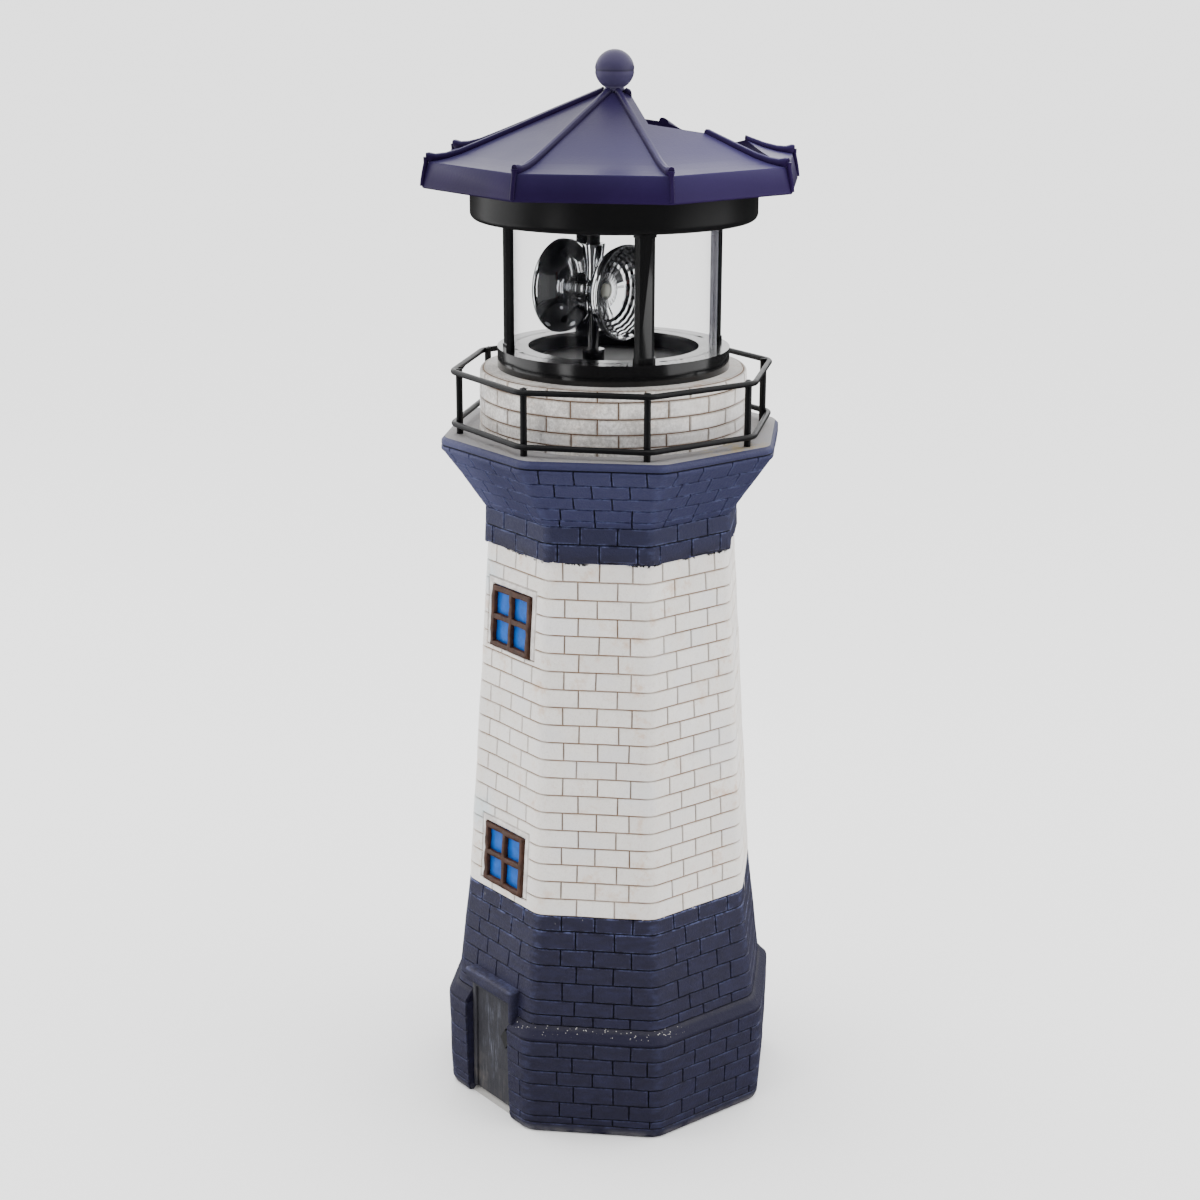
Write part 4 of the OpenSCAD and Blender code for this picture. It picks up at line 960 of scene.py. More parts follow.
def make_lintel(paint):
    """The blocks around the top of the doorway, with an unevenness that is another one each run."""
    bm = bmesh.new()
    layer = bm.verts.layers.float.new("edge")
    stepped_grid(bm, (-0.0130, -0.0120, 0.01245, 0.0147), (0.0375, 0.045, 0.0500), -0.0564)
    gap = [f for f in bm.faces if f.calc_center_median().x < 0.002 and f.calc_center_median().z < 0.045]
    bmesh.ops.delete(bm, geom=gap, context="FACES")
    made = bmesh.ops.extrude_face_region(bm, geom=list(bm.faces))
    bmesh.ops.translate(bm, verts=verts_of(made), vec=(0, 0.008, 0))
    face_outwards(bm)
    rounded(bm, [edge for edge in bm.edges if edge.calc_face_angle(0.0) > 0.5], 0.0011, 4)
    long_edges = [edge for edge in bm.edges if edge.calc_length() > 0.003]
    bmesh.ops.subdivide_edges(bm, edges=long_edges, cuts=4, use_grid_fill=True)
    for vert in bm.verts:
        vert.co += noise.noise_vector(vert.co * 160.0) * 0.0002
        vert[layer] = 0.25
    finished("door_lintel", bm, "tower", [paint], "tower_body", 50.0)


# ---------- door and windows ----------


def slate(settings):
    """Dark slate paint with rough pale streaks down the middle."""
    board = Board("door_slate", specular_ior_level=0.35)
    x, _, z = board.axes()
    cloud = board.noise(6.0, 4.0)
    streak = board.noise(0.75, 4.0, 0.65, board.upright(0.10))
    middle = x.rise(-0.0090, -0.0030) * x.rise(0.0060, 0.0010)
    high = z.rise(0.004, 0.016) * z.rise(0.0445, 0.036)
    body = board.mix(cloud, scaled(settings.leaf, 0.75), scaled(settings.leaf, 1.25))
    body = board.mix(streak.rise(0.48, 0.72) * middle * high * 0.42, body, (0.22, 0.24, 0.32))
    dust = (cloud * 0.6 + streak * 0.4).rise(0.45, 0.7) * z.rise(0.024, 0.002)
    body = board.mix(dust * 0.5, body, (0.16, 0.145, 0.125))
    return board.finish(body, 0.55 + cloud * 0.2, streak + cloud, 0.3, 0.8)


def frame_brown(settings):
    """Brown paint of the window frames, laid on by hand."""
    board = Board("window_frame_brown", specular_ior_level=0.22)
    cloud = board.noise(2.0, 3.0)
    body = board.mix(cloud.rise(0.3, 0.8), tuple(settings.frame_paint), scaled(settings.frame_paint, 1.9))
    return board.finish(body, 0.38 + cloud * 0.2, cloud, 0.25, 0.8)


def pane_blue(settings):
    """Blue paint of the panes, with lighter flecks under a thin skin."""
    board = Board("window_pane_blue", coat_weight=0.05, coat_roughness=0.15, specular_ior_level=0.12)
    cloud = board.noise(3.0, 3.0)
    body = board.mix(cloud.rise(0.3, 0.7), scaled(settings.pane_paint, 0.75), tuple(settings.pane_paint))
    body = board.mix(board.noise(1.2, 3.0).rise(0.60, 0.75) * 0.3, body, (0.012, 0.20, 0.62))
    return board.finish(body, 0.3 + cloud * 0.2, cloud, 0.3, 0.7)


def place_on_wall(x, z):
    """Where a window sits: its own +Z points out of the leaning wall."""
    levels = [(53.0, 80.2), (44.7, 204.9)]
    out = outline_at(levels, z) * FLAT * MM
    lean = math.atan((53.0 - 44.7) * FLAT / 124.7)
    turn = Matrix.Rotation(-lean, 4, "X") @ turned(90, "X")
    return Matrix.Translation((x * MM, -out, z * MM)) @ turn


class GARDEN_OT_door(bpy.types.Operator):
    """Build the slate door with its raised frame and latch"""

    bl_idname = "garden.door"
    bl_label = "Door"

    def execute(self, context):
        settings = context.scene.garden_door
        bm = bmesh.new()
        stepped_grid(bm, (-0.0121, -0.0101, 0.0101, 0.0121), (0.0022, 0.0425, 0.0447), -0.0529)
        face_outwards(bm)
        border = []
        for face in bm.faces:
            centre = face.calc_center_median()
            if not (abs(centre.x) < 0.002 and centre.z < 0.04):
                border.append(face)
        made = bmesh.ops.extrude_face_region(bm, geom=border)
        bmesh.ops.translate(bm, verts=verts_of(made), vec=(0, -0.0009, 0))
        bmesh.ops.delete(bm, geom=[face for face in border if face.is_valid], context="FACES_ONLY")
        face_outwards(bm)
        sharp = [e for e in bm.edges if len(e.link_faces) == 2 and e.calc_face_angle(0.0) > 0.5]
        rounded(bm, sharp, 0.0004)
        bmesh.ops.solidify(bm, geom=list(bm.faces), thickness=0.0008)
        face_outwards(bm)
        latch = bmesh.ops.create_circle(
            bm, cap_ends=True, segments=4, radius=1.0, matrix=turned(90, "X"),
        )
        for vert in latch["verts"]:
            vert.co = Vector((0.0074 + vert.co.x * 0.0026, -0.0536, 0.0286 + vert.co.z * 0.0039))
        plate = list(latch["verts"][0].link_faces)
        made = bmesh.ops.extrude_face_region(bm, geom=plate)
        bmesh.ops.translate(bm, verts=verts_of(made), vec=(0, 0.0008, 0))
        for face in faces_around(latch["verts"] + verts_of(made)):
            face.material_index = 1
        face_outwards(bm)
        paints = [slate(settings), moulded("latch_shadow", (0.006, 0.006, 0.008), 0.5)]
        finished("slate_door", bm, "tower", paints, "door_leaf", 40.0)
        return {"FINISHED"}


def window_lattice(bm, place, rng):
    """The crossed bars of one window, standing out of the wall, with uneven edges.

    noise_vector isn't seeded, so the unevenness is another one each run.
    """
    w, h, bar = 0.0220, 0.0215, 0.0019
    start = len(bm.verts)
    bmesh.ops.create_grid(bm, x_segments=5, y_segments=5, size=1.0)
    bm.verts.ensure_lookup_table()
    mine = bm.verts[start:]
    across = [-w / 2, -w / 2 + bar, -bar / 2, bar / 2, w / 2 - bar, w / 2]
    up = [-h / 2, -h / 2 + bar, -bar / 2, bar / 2, h / 2 - bar, h / 2]
    for vert in mine:
        vert.co.x = across[round((vert.co.x + 1) * 2.5)]
        vert.co.y = up[round((vert.co.y + 1) * 2.5)]
    faces = faces_around(mine)
    glass = [face for face in faces if face.calc_area() > 0.00003]
    kept = [face for face in faces if face not in set(glass)]
    bmesh.ops.delete(bm, geom=glass, context="FACES")
    made = bmesh.ops.extrude_face_region(bm, geom=kept)
    raised = verts_of(made)
    bmesh.ops.translate(bm, verts=raised, vec=(0, 0, 0.0014))
    bmesh.ops.recalc_face_normals(bm, faces=faces_around(bm.verts[start:]))
    rims = []
    for edge in edges_around(raised):
        level = abs(edge.verts[0].co.z - edge.verts[1].co.z) < 1e-6
        if level and edge.calc_face_angle(0.0) > 0.6:
            rims.append(edge)
    rounded(bm, rims, 0.0003)
    bm.verts.ensure_lookup_table()
    long_edges = [edge for edge in edges_around(bm.verts[start:]) if edge.calc_length() > 0.003]
    bmesh.ops.subdivide_edges(bm, edges=long_edges, cuts=3, use_grid_fill=True)
    bm.verts.ensure_lookup_table()
    mine = bm.verts[start:]
    shift = rng.uniform(0, 9)
    for vert in mine:
        vert.co += noise.noise_vector(vert.co * 420.0 + Vector((shift, shift, 0))) * 0.00034
    bmesh.ops.translate(bm, verts=mine, vec=(0, 0, -0.0006))
    bmesh.ops.transform(bm, matrix=place, verts=mine)


class GARDEN_OT_windows(bpy.types.Operator):
    """Build the brown window frames and the blue panes"""

    bl_idname = "garden.windows"
    bl_label = "Windows"

    def execute(self, context):
        settings = context.scene.garden_door
        rng = random.Random(11)
        places = [place_on_wall(0.5, 93.9), place_on_wall(-1.3, 179.4)]
        bm = bmesh.new()
        for place in places:
            window_lattice(bm, place, rng)
        brown = frame_brown(settings)
        finished("window_lattices", bm, "tower", [brown], "window_frames", 40.0)
        bm = bmesh.new()
        for place in places:
            start = len(bm.verts)
            bmesh.ops.create_grid(bm, x_segments=8, y_segments=8, size=1.0)
            bm.verts.ensure_lookup_table()
            mine = bm.verts[start:]
            for vert in mine:
                dome = (1 - abs(vert.co.x * 2 % 2 - 1)) * (1 - abs(vert.co.y * 2 % 2 - 1))
                vert.co = Vector((vert.co.x * 0.01095, vert.co.y * 0.0107, -0.0009 + dome * 0.0002))
            made = bmesh.ops.extrude_face_region(bm, geom=faces_around(mine))
            bmesh.ops.translate(bm, verts=verts_of(made), vec=(0, 0, -0.0005))
            bm.verts.ensure_lookup_table()
            bmesh.ops.transform(bm, matrix=place, verts=bm.verts[start:])
        face_outwards(bm)
        blue = pane_blue(settings)
        finished("blue_panes", bm, "tower", [blue], "window_panes", 40.0)
        return {"FINISHED"}


# ---------- railing ----------


def wire_paint(settings, name):
    """Black paint on bent wire, with a little rust."""
    board = Board(name, specular_ior_level=0.16)
    cloud = board.noise(4.0, 3.0)
    chips = board.noise(7.0, 4.0, 0.65).rise(0.70, 0.76)
    body = board.mix(cloud, tuple(settings.paint), scaled(settings.paint, 1.8))
    body = board.mix(chips * 0.8, body, tuple(settings.rust))
    rough = 0.34 + cloud * 0.15 + chips * 0.3
    return board.finish(body, rough, board.noise(0.8, 3.0), 0.08, 0.7)


def wire_loop(name, radius, z, settings, material, node, turn):
    """One rail: an octagon of wire with bent corners, as a closed tube."""
    bm = bmesh.new()
    edges = eight_sided_ring(bm, radius, z, settings.bend * math.tan(math.radians(22.5)), 5, 22.5 + turn)
    loop = [edges[0].verts[0]]
    last = None
    while True:
        last = next(edge for edge in loop[-1].link_edges if edge is not last)
        following = last.other_vert(loop[-1])
        if following is loop[0]:
            break
        loop.append(following)
    curve = bpy.data.curves.new(name, "CURVE")
    curve.dimensions = "3D"
    curve.bevel_depth = settings.wire
    curve.bevel_resolution = 4
    spline = curve.splines.new("POLY")
    spline.points.add(len(loop) - 1)
    for point, vert in zip(spline.points, loop):
        sway = noise.noise(vert.co * 35.0) * 0.00035
        point.co = (vert.co.x, vert.co.y, vert.co.z + sway, 1.0)
    spline.use_cyclic_u = True
    bm.free()
    holder = placed(name + "_path", curve)
    mesh = evaluated_mesh(holder)
    bpy.data.objects.remove(holder)
    shape = bmesh.new()
    shape.from_mesh(mesh)
    bmesh.ops.remove_doubles(shape, verts=shape.verts, dist=1e-6)
    bmesh.ops.recalc_face_normals(shape, faces=shape.faces)
    finished(name, shape, "tower", [material], node, 60.0)


class GARDEN_OT_railing(bpy.types.Operator):
    """Bend the wire rails and stand the posts on the gallery"""

    bl_idname = "garden.railing"
    bl_label = "Railing"

    def execute(self, context):
        settings = context.scene.garden_railing
        paint = wire_paint(settings, "black_wire_paint")
        turn = -4.1
        wire_loop("top_rail", 0.0553, 0.2627, settings, paint, "railing_top_rail", turn)
        wire_loop("bottom_rail", 0.0553, 0.2448, settings, paint, "railing_bottom_rail", turn)
        bm = bmesh.new()
        inset = 0.0553 - settings.wire - (settings.post + 0.0001) / FLAT
        for i in range(8):
            angle = math.radians(22.5 + turn + 45 * i)
            foot = Vector((inset * math.cos(angle), inset * math.sin(angle), 0.2389))
            start = len(bm.verts)
            bmesh.ops.create_cone(
                bm, cap_ends=True, segments=16, radius1=settings.post, radius2=settings.post,
                depth=0.0247, matrix=Matrix.Translation(foot + Vector((0, 0, 0.01235))),
            )
            bm.verts.ensure_lookup_table()
            top = [vert for vert in bm.verts[start:] if vert.co.z > 0.25]
            rim = [edge for edge in edges_around(top) if set(edge.verts) <= set(top)]
            rounded(bm, rim, 0.0005, 3)
        finished("rail_posts", bm, "tower", [paint], "railing_posts", 50.0)
        return {"FINISHED"}


# ---------- roof ----------

ROOF = [  # corner radius and height of the roof's skin, in mm, from the fascia's foot to the apex
    (64.6, 324.1), (65.0, 324.5), (63.05, 332.1), (62.7, 332.6), (60.5, 332.95), (57.0, 333.6),
    (52.5, 334.9), (46.5, 337.2), (40.0, 339.8), (22.0, 346.9), (4.2, 353.9),
]
ROOF_INSIDE = [  # the same skin from inside, from the fascia's foot to the apex
    (62.6, 324.1), (61.3, 330.0), (46.0, 334.9), (6.0, 350.4),
]
RECESS_TURN = 67.5
BALL_Z = 360.96
BALL_RADIUS = 6.5


def shape_object(bm, name):
    """A throwaway object for cutting with."""
    face_outwards(bm)
    return placed(name, mesh_of(bm, name))


def reopened(piece):
    """A welded bmesh of a throwaway object; the object is used up."""
    bm = bmesh.new()
    bm.from_mesh(piece.data)
    bpy.data.objects.remove(piece)
    bmesh.ops.remove_doubles(bm, verts=bm.verts, dist=2e-6)
    return bm


def combined(base, tool, operation):
    """Cuts a throwaway object with another, or joins them; the tool is used up."""
    step = base.modifiers.new("cut", "BOOLEAN")
    step.operation = operation
    step.solver = "EXACT"
    step.object = tool
    mesh = evaluated_mesh(base)
    base.modifiers.clear()
    base.data = mesh
    bpy.data.objects.remove(tool)


def eight_sided_solid(levels, name, corner_cut=0.0, segments=1):
    """A closed eight-sided throwaway object through (radius, height) levels in mm."""
    bm = bmesh.new()
    r0, z0 = levels[0]
    edges = eight_sided_ring(bm, r0 * MM, z0 * MM, corner_cut, segments)
    base = list(edges)
    edges = drawn_ring(bm, edges, metres(levels[1:]), (r0 * MM, z0 * MM))
    bmesh.ops.holes_fill(bm, edges=base, sides=0)
    bmesh.ops.holes_fill(bm, edges=edges, sides=0)
    return shape_object(bm, name)


def recess_box(grow, low, name):
    """The block of the solar recess, in metres, grown by a wall."""
    bm = bmesh.new()
    turn = turned(RECESS_TURN)
    long, wide, tall = 0.0418 + 2 * grow, 0.0494 + 2 * grow, 0.03
    middle = Matrix.Translation((0.0042 + 0.0209, 0.0, low + tall / 2))
    bmesh.ops.create_cube(bm, size=1.0, matrix=turn @ middle @ Matrix.Diagonal((long, wide, tall, 1.0)))
    return shape_object(bm, name)


def swept(bm, cap, path, squeezes):
    """Draws a face along a path of (reach, height) in mm; squeezes shrink it at steps of the path."""
    foot = cap
    for index, ((x1, z1), (x2, z2)) in enumerate(zip(path, path[1:])):
        made = bmesh.ops.extrude_face_region(bm, geom=[cap])
        ring = verts_of(made)
        bmesh.ops.translate(bm, verts=ring, vec=((x2 - x1) * MM, 0, (z2 - z1) * MM))
        if cap is not foot:
            bmesh.ops.delete(bm, geom=[cap], context="FACES_ONLY")
        cap = faces_of(made)[0]
        if index in squeezes:
            to_origin = Matrix.Translation((-x2 * MM, 0, -z2 * MM))
            bmesh.ops.scale(bm, vec=squeezes[index], verts=ring, space=to_origin)


def rib_tube(turn, width, height, name):
    """One rounded rib from the apex to its prow, with the ridge down the fascia's corner."""
    path = [
        (4.4, 353.6), (12.0, 350.6), (22.0, 346.7), (34.0, 341.9), (41.0, 339.2), (46.5, 337.1),
        (52.5, 334.9), (57.0, 333.75), (60.2, 333.45), (62.3, 333.9), (63.3, 334.25),
    ]
    bm = bmesh.new()
    stand = turned(90, "Y")
    made = bmesh.ops.create_circle(bm, cap_ends=True, segments=12, radius=1.0, matrix=stand)
    for vert in made["verts"]:
        side = 1 if vert.co.y > 0 else -1
        bulge = side * abs(vert.co.y) ** 0.75
        vert.co = Vector((path[0][0] * MM, bulge * width / 2, path[0][1] * MM + vert.co.z * height))
    swept(bm, bm.faces[:][0], path, {len(path) - 2: (1.0, 0.8, 0.72)})
    ridge = [(63.35, 334.1), (63.5, 332.3), (64.15, 329.5), (64.6, 327.0), (64.85, 324.9)]
    made = bmesh.ops.create_circle(bm, cap_ends=True, segments=10, radius=0.00115)
    verts = made["verts"]
    bmesh.ops.scale(bm, vec=(0.8, 1.0, 1.0), verts=verts)
    bmesh.ops.translate(bm, verts=verts, vec=(ridge[0][0] * MM, 0, ridge[0][1] * MM))
    swept(bm, verts[0].link_faces[0], ridge, {0: (0.8, 0.62, 1.0)})
    bmesh.ops.transform(bm, matrix=turned(turn), verts=bm.verts)
    return shape_object(bm, name)


def roof_plastic(settings):
    """Satin navy plastic, painted paler where it faces up as a painted sheen and lighter on its side toward
    the right softbox as painted light, with a few white specks.
    """
    board = Board("navy_roof_plastic", specular_ior_level=0.10)
    board.set("Specular Tint", (0.70, 0.66, 1.0, 1.0))
    cloud = board.noise(16.0, 3.0)
    fine = board.noise(0.9, 3.0)
    body = board.mix(cloud.rise(0.3, 0.75), scaled(settings.paint, 0.84), scaled(settings.paint, 1.12))
    x, y, z = board.axes()
    # Painted sheen: faded marks the up-facing slopes, mostly low on the roof, which are painted paler for the
    # sheen of the light above.
    faded = board.up().rise(0.05, 0.90) * (0.45 + 0.55 * z.rise(0.3480, 0.3370))
    # Painted light: the side toward the right softbox is painted lighter.
    lit_side_mask = (x + y).rise(-0.015, 0.060)
    pale = board.mix(lit_side_mask, tuple(settings.sheen_paint), scaled(settings.sheen_paint, 1.5))
    body = board.mix(lit_side_mask * 0.5, body, scaled(settings.paint, 2.0))
    body = board.mix(faded, body, pale)
    body = board.mix(board.specks(6.0, 0.25, 0.03) * 0.7, body, (0.60, 0.60, 0.66))
    return board.finish(body, 0.26 + cloud * 0.10 + fine * 0.05, fine * 0.5 + cloud, 0.12, 0.5)


class GARDEN_OT_roof(bpy.types.Operator):
    """Build the ribbed roof with its solar recess"""

    bl_idname = "garden.roof"
    bl_label = "Roof"

    def execute(self, context):
        settings = context.scene.garden_roof
        roof = eight_sided_solid(ROOF, "roof_block", 0.0006, 2)
        for i in range(8):
            rib = rib_tube(22.5 + 45 * i, settings.rib_width, settings.rib_height, f"rib_{i}")
            combined(roof, rib, "UNION")
        hollow = eight_sided_solid([(ROOF_INSIDE[0][0], 323.0)] + ROOF_INSIDE, "roof_hollow")
        combined(hollow, recess_box(0.0022, 0.3291, "tray_block"), "DIFFERENCE")
        combined(roof, hollow, "DIFFERENCE")
        combined(roof, recess_box(0.0, 0.3313, "recess_block"), "DIFFERENCE")
        seat = bmesh.new()
        bmesh.ops.create_cone(
            seat, cap_ends=True, segments=32, radius1=0.00385, radius2=0.00385, depth=0.006,
            matrix=Matrix.Translation((0, 0, 0.3539 + 0.003)),
        )
        combined(roof, shape_object(seat, "finial_seat"), "DIFFERENCE")
        plastic = [roof_plastic(settings)]
        finished("ribbed_roof", reopened(roof), "lantern", plastic, "roof_shell", 32.0)
        return {"FINISHED"}


def lathe(bm, points, steps, matrix=None):
    """Turns an outline of (radius, height) points in metres around Z."""
    start = len(bm.verts)
    verts = [bm.verts.new((r, 0, z)) for r, z in points]
    edges = [bm.edges.new(pair) for pair in zip(verts, verts[1:])]
    bmesh.ops.spin(
        bm, geom=verts + edges, cent=(0, 0, 0), axis=(0, 0, 1), dvec=(0, 0, 0),
        angle=2 * math.pi, steps=steps, use_merge=True, use_duplicate=False,
    )
    bm.verts.ensure_lookup_table()
    mine = bm.verts[start:]
    bmesh.ops.remove_doubles(bm, verts=mine, dist=1e-7)
    bm.verts.ensure_lookup_table()
    mine = bm.verts[start:]
    if matrix is not None:
        bmesh.ops.transform(bm, matrix=matrix, verts=mine)
    bmesh.ops.recalc_face_normals(bm, faces=faces_around(mine))


def finial_plastic(settings):
    """Greyed navy plastic, with a painted shade line along its seam, a painted highlight under the seam, and
    pale on the collar's rim.
    """
    board = Board("finial_plastic", specular_ior_level=0.14)
    cloud = board.noise(7.0, 3.0)
    paint = settings.finial_paint
    z = board.axes()[2]
    seam_z = (BALL_Z - 0.2) * MM
    body = board.mix(cloud, scaled(paint, 0.9), scaled(paint, 1.1))
    # Painted shade: a dark line along the seam's groove.
    seam_shade_line = (z - seam_z).size().rise(0.00055, 0.00020)
    body = board.mix(seam_shade_line * 0.45, body, scaled(paint, 0.3))
    # Painted highlight: the ball is painted lighter below its seam.
    body = board.mix(z.rise(seam_z, (BALL_Z - 0.5) * MM) * 0.30, body, scaled(paint, 2.0))
    pale = z.rise(0.3546, 0.3549) * z.rise(0.3558, 0.3554)
    body = board.mix(pale * 0.35, body, (0.30, 0.27, 0.42))
    return board.finish(body, 0.36 + cloud * 0.1, board.noise(1.0, 3.0), 0.05, 0.5)


class GARDEN_OT_finial(bpy.types.Operator):
    """Turn the finial ball with its seam and collar"""

    bl_idname = "garden.finial"
    bl_label = "Finial"

    def execute(self, context):
        settings = context.scene.garden_roof
        points = [
            (0.0, 345.9), (1.7, 345.9), (1.9, 346.2), (1.9, 353.95), (3.5, 353.95), (3.8, 354.2),
            (3.8, 354.6), (3.3, 354.85), (3.1, 355.15), (3.35, 355.4),
        ]
        for turn in range(-58, 91, 7):
            angle = math.radians(min(turn, 90))
            reach = BALL_RADIUS - (0.16 if abs(turn + 2) < 3 else 0.0)
            points.append((max(0.0, reach * math.cos(angle)), BALL_Z + reach * math.sin(angle)))
        points.append((0.0, BALL_Z + BALL_RADIUS))
        bm = bmesh.new()
        lathe(bm, metres(points), 48)
        material = finial_plastic(settings)
        finished("finial_ball", bm, "lantern", [material], "finial", 40.0)
        return {"FINISHED"}


# ---------- lantern ----------

BEACON = Vector((-0.004233, -0.005322, 0.2889))


def softened(node, width, segments=2, angle=40.0):
    """Rounds the edges of a CAD node that stays in view."""
    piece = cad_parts[node]
    weld = piece.modifiers.new("weld", "WELD")
    weld.merge_threshold = 1e-6
    bevel = piece.modifiers.new("soft_edges", "BEVEL")
    bevel.width = width
    bevel.segments = segments
    bevel.limit_method = "ANGLE"
    bevel.angle_limit = math.radians(angle)
    return piece


def dress(node, material):
    """Gives a CAD node that stays in view its finish."""
    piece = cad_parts[node]
    piece.data.materials.clear()
    piece.data.materials.append(material)


def bell_outlines():
    """Outer and inner outline of a reflector along its axis, in mm: a bowl outside, steps inside."""
    steps = 8
    start, depth, rim, neck, wall = 5.0, 8.7, 16.0, 5.3, 1.2

    def radius(share):
        return neck + (rim - neck) * (1.0 - (1.0 - share) ** 2) ** 0.62

    outer = [(3.1, start), (neck, start)]
    outer += [(radius(i / 16), start + depth * i / 16) for i in range(1, 16)]
    outer += [(rim - 0.1, start + depth - 0.3), (rim, start + depth), (rim - 0.2, start + depth + 0.25)]
    inner = [(rim - 0.7, start + depth + 0.2), (rim - wall, start + depth - 0.3)]
    for i in range(steps - 1, -1, -1):
        reach = start + depth * (i + 0.62) / steps
        inset = wall * (2 if i == 0 else 1)
        inner.append((radius((i + 0.55) / steps) - inset, reach))
        inner.append((max(3.1, radius(i / steps) - inset), reach - 0.15))
    return outer, inner + [(3.1, start)]


def axis_tube(radius, low, high, turn=None, bulge=0.0):
    """A throwaway cylinder on the beacon's axis, or along the reflectors' line for a turn in degrees."""
    bm = bmesh.new()
    rings = [(radius + bulge * (1 - abs(k) / 4) ** 2, low + (high - low) * (k + 4) / 8) for k in range(-4, 5)]
    points = [(0.0, low)] + rings + [(0.0, high)]
    matrix = Matrix.Translation(BEACON)
    if turn is not None:
        matrix = matrix @ turned(turn) @ turned(90, "Y")
    lathe(bm, metres(points), 40, matrix)
    return shape_object(bm, "axis_tube")


def build_neck(bright):
    """The waist between the bells, with the tube round the lamp stem on top."""
    neck = axis_tube(5.25, -4.98, 4.98, 14.5, -0.7)
    combined(neck, axis_tube(3.0, -7.8, 7.8, None, 1.6), "UNION")
    funnel = axis_tube(3.3, 6.8, 15.3)
    for vert in funnel.data.vertices:
        off_axis = vert.co - BEACON
        flare = 0.9 + 0.28 * max(0.0, off_axis.z - 7.5 * MM) / (7.8 * MM)
        vert.co = BEACON + Vector((off_axis.x * flare, off_axis.y * flare, off_axis.z))
    combined(neck, funnel, "UNION")
    combined(neck, axis_tube(2.5, 5.8, 16.5), "DIFFERENCE")
    combined(neck, axis_tube(2.7, -5.8, 6.2), "DIFFERENCE")
    combined(neck, axis_tube(3.1, -6.0, 6.0, 14.5), "DIFFERENCE")
    bm = reopened(neck)
    rims = [e for e in bm.edges if len(e.link_faces) == 2 and e.calc_face_angle(0.0) > 0.9]
    rounded(bm, rims, 0.00018)
    finished("beacon_neck", bm, "beacon", [bright], "reflector_neck", 40.0)


class GARDEN_OT_reflectors(bpy.types.Operator):
    """Turn the beacon's two metallised bells and the neck between them"""

    bl_idname = "garden.reflectors"
    bl_label = "Reflectors"

    def execute(self, context):
        settings = context.scene.garden_lantern
        bright = metal("reflector_bright", settings.bright, 0.06)
        for name, node, turn in (("bell_a", "reflector_a", 14.5), ("bell_b", "reflector_b", 194.5)):
            outer, inner = bell_outlines()
            aim = turned(turn) @ turned(90, "Y")
            place = Matrix.Translation(BEACON) @ aim
            bm = bmesh.new()
            lathe(bm, metres(outer), 48, place)
            start = len(bm.faces)
            lathe(bm, metres([outer[-1]] + inner), 48)
            bm.faces.ensure_lookup_table()
            facets = bm.faces[start:]
            for vert in {vert for face in facets for vert in face.verts}:
                column = round(math.degrees(math.atan2(vert.co.y, vert.co.x)) / 7.5)
                if column % 2 and 5.6 * MM < vert.co.xy.length < 15.5 * MM:
                    vert.co.xy *= 0.980
                vert.co = place @ vert.co
            for face in facets:
                face.material_index = 1
            bmesh.ops.remove_doubles(bm, verts=bm.verts, dist=1e-6)
            face_outwards(bm)
            piece = finished(name, bm, "beacon", [bright, bright], node, 30.0)
            for face in piece.data.polygons:
                face.use_smooth = face.material_index == 0
        build_neck(bright)
        return {"FINISHED"}


def clear_wall(settings):
    """Clear plastic: light passes nearly untouched, and its turned edges look pale."""
    board = Board("clear_cylinder", ior=1.49, specular_ior_level=1.0)
    haze = board.noise(18.0, 2.0)
    edge = board.node("ShaderNodeLayerWeight", None, {0: 0.5})[1]
    body = board.mix(edge.rise(0.55, 0.92), (0.020, 0.020, 0.032), tuple(settings.clear))
    board.set("Alpha", 0.030 + haze * 0.015 + (edge ** 6.0) * 0.50)
    return board.finish(body, 0.04, haze, 0.02, 0.3)


def solar_cells():
    """Dark blue cells with thin silver lines, under a clear skin."""
    board = Board("solar_cells", coat_weight=1.0, coat_roughness=0.05, roughness=0.4)
    turn = math.radians(-RECESS_TURN)
    local = board.node("ShaderNodeMapping", None, {0: board.place(), 2: (0.0, 0.0, turn)})[0]
    along_panel, across, _ = board.node("ShaderNodeSeparateXYZ", None, {0: local})
    line = (along_panel / 0.0101).fraction().rise(0.05, 0.02)
    fine = (across / 0.0016).fraction().rise(0.10, 0.04)
    cloud = board.noise(3.0, 3.0)
    body = board.mix(cloud, (0.008, 0.014, 0.050), (0.014, 0.026, 0.085))
    body = board.mix(fine * 0.35, body, (0.30, 0.32, 0.36))
    board.set("Base Color", board.mix(line * 0.8, body, (0.50, 0.52, 0.55)))
    return board.material


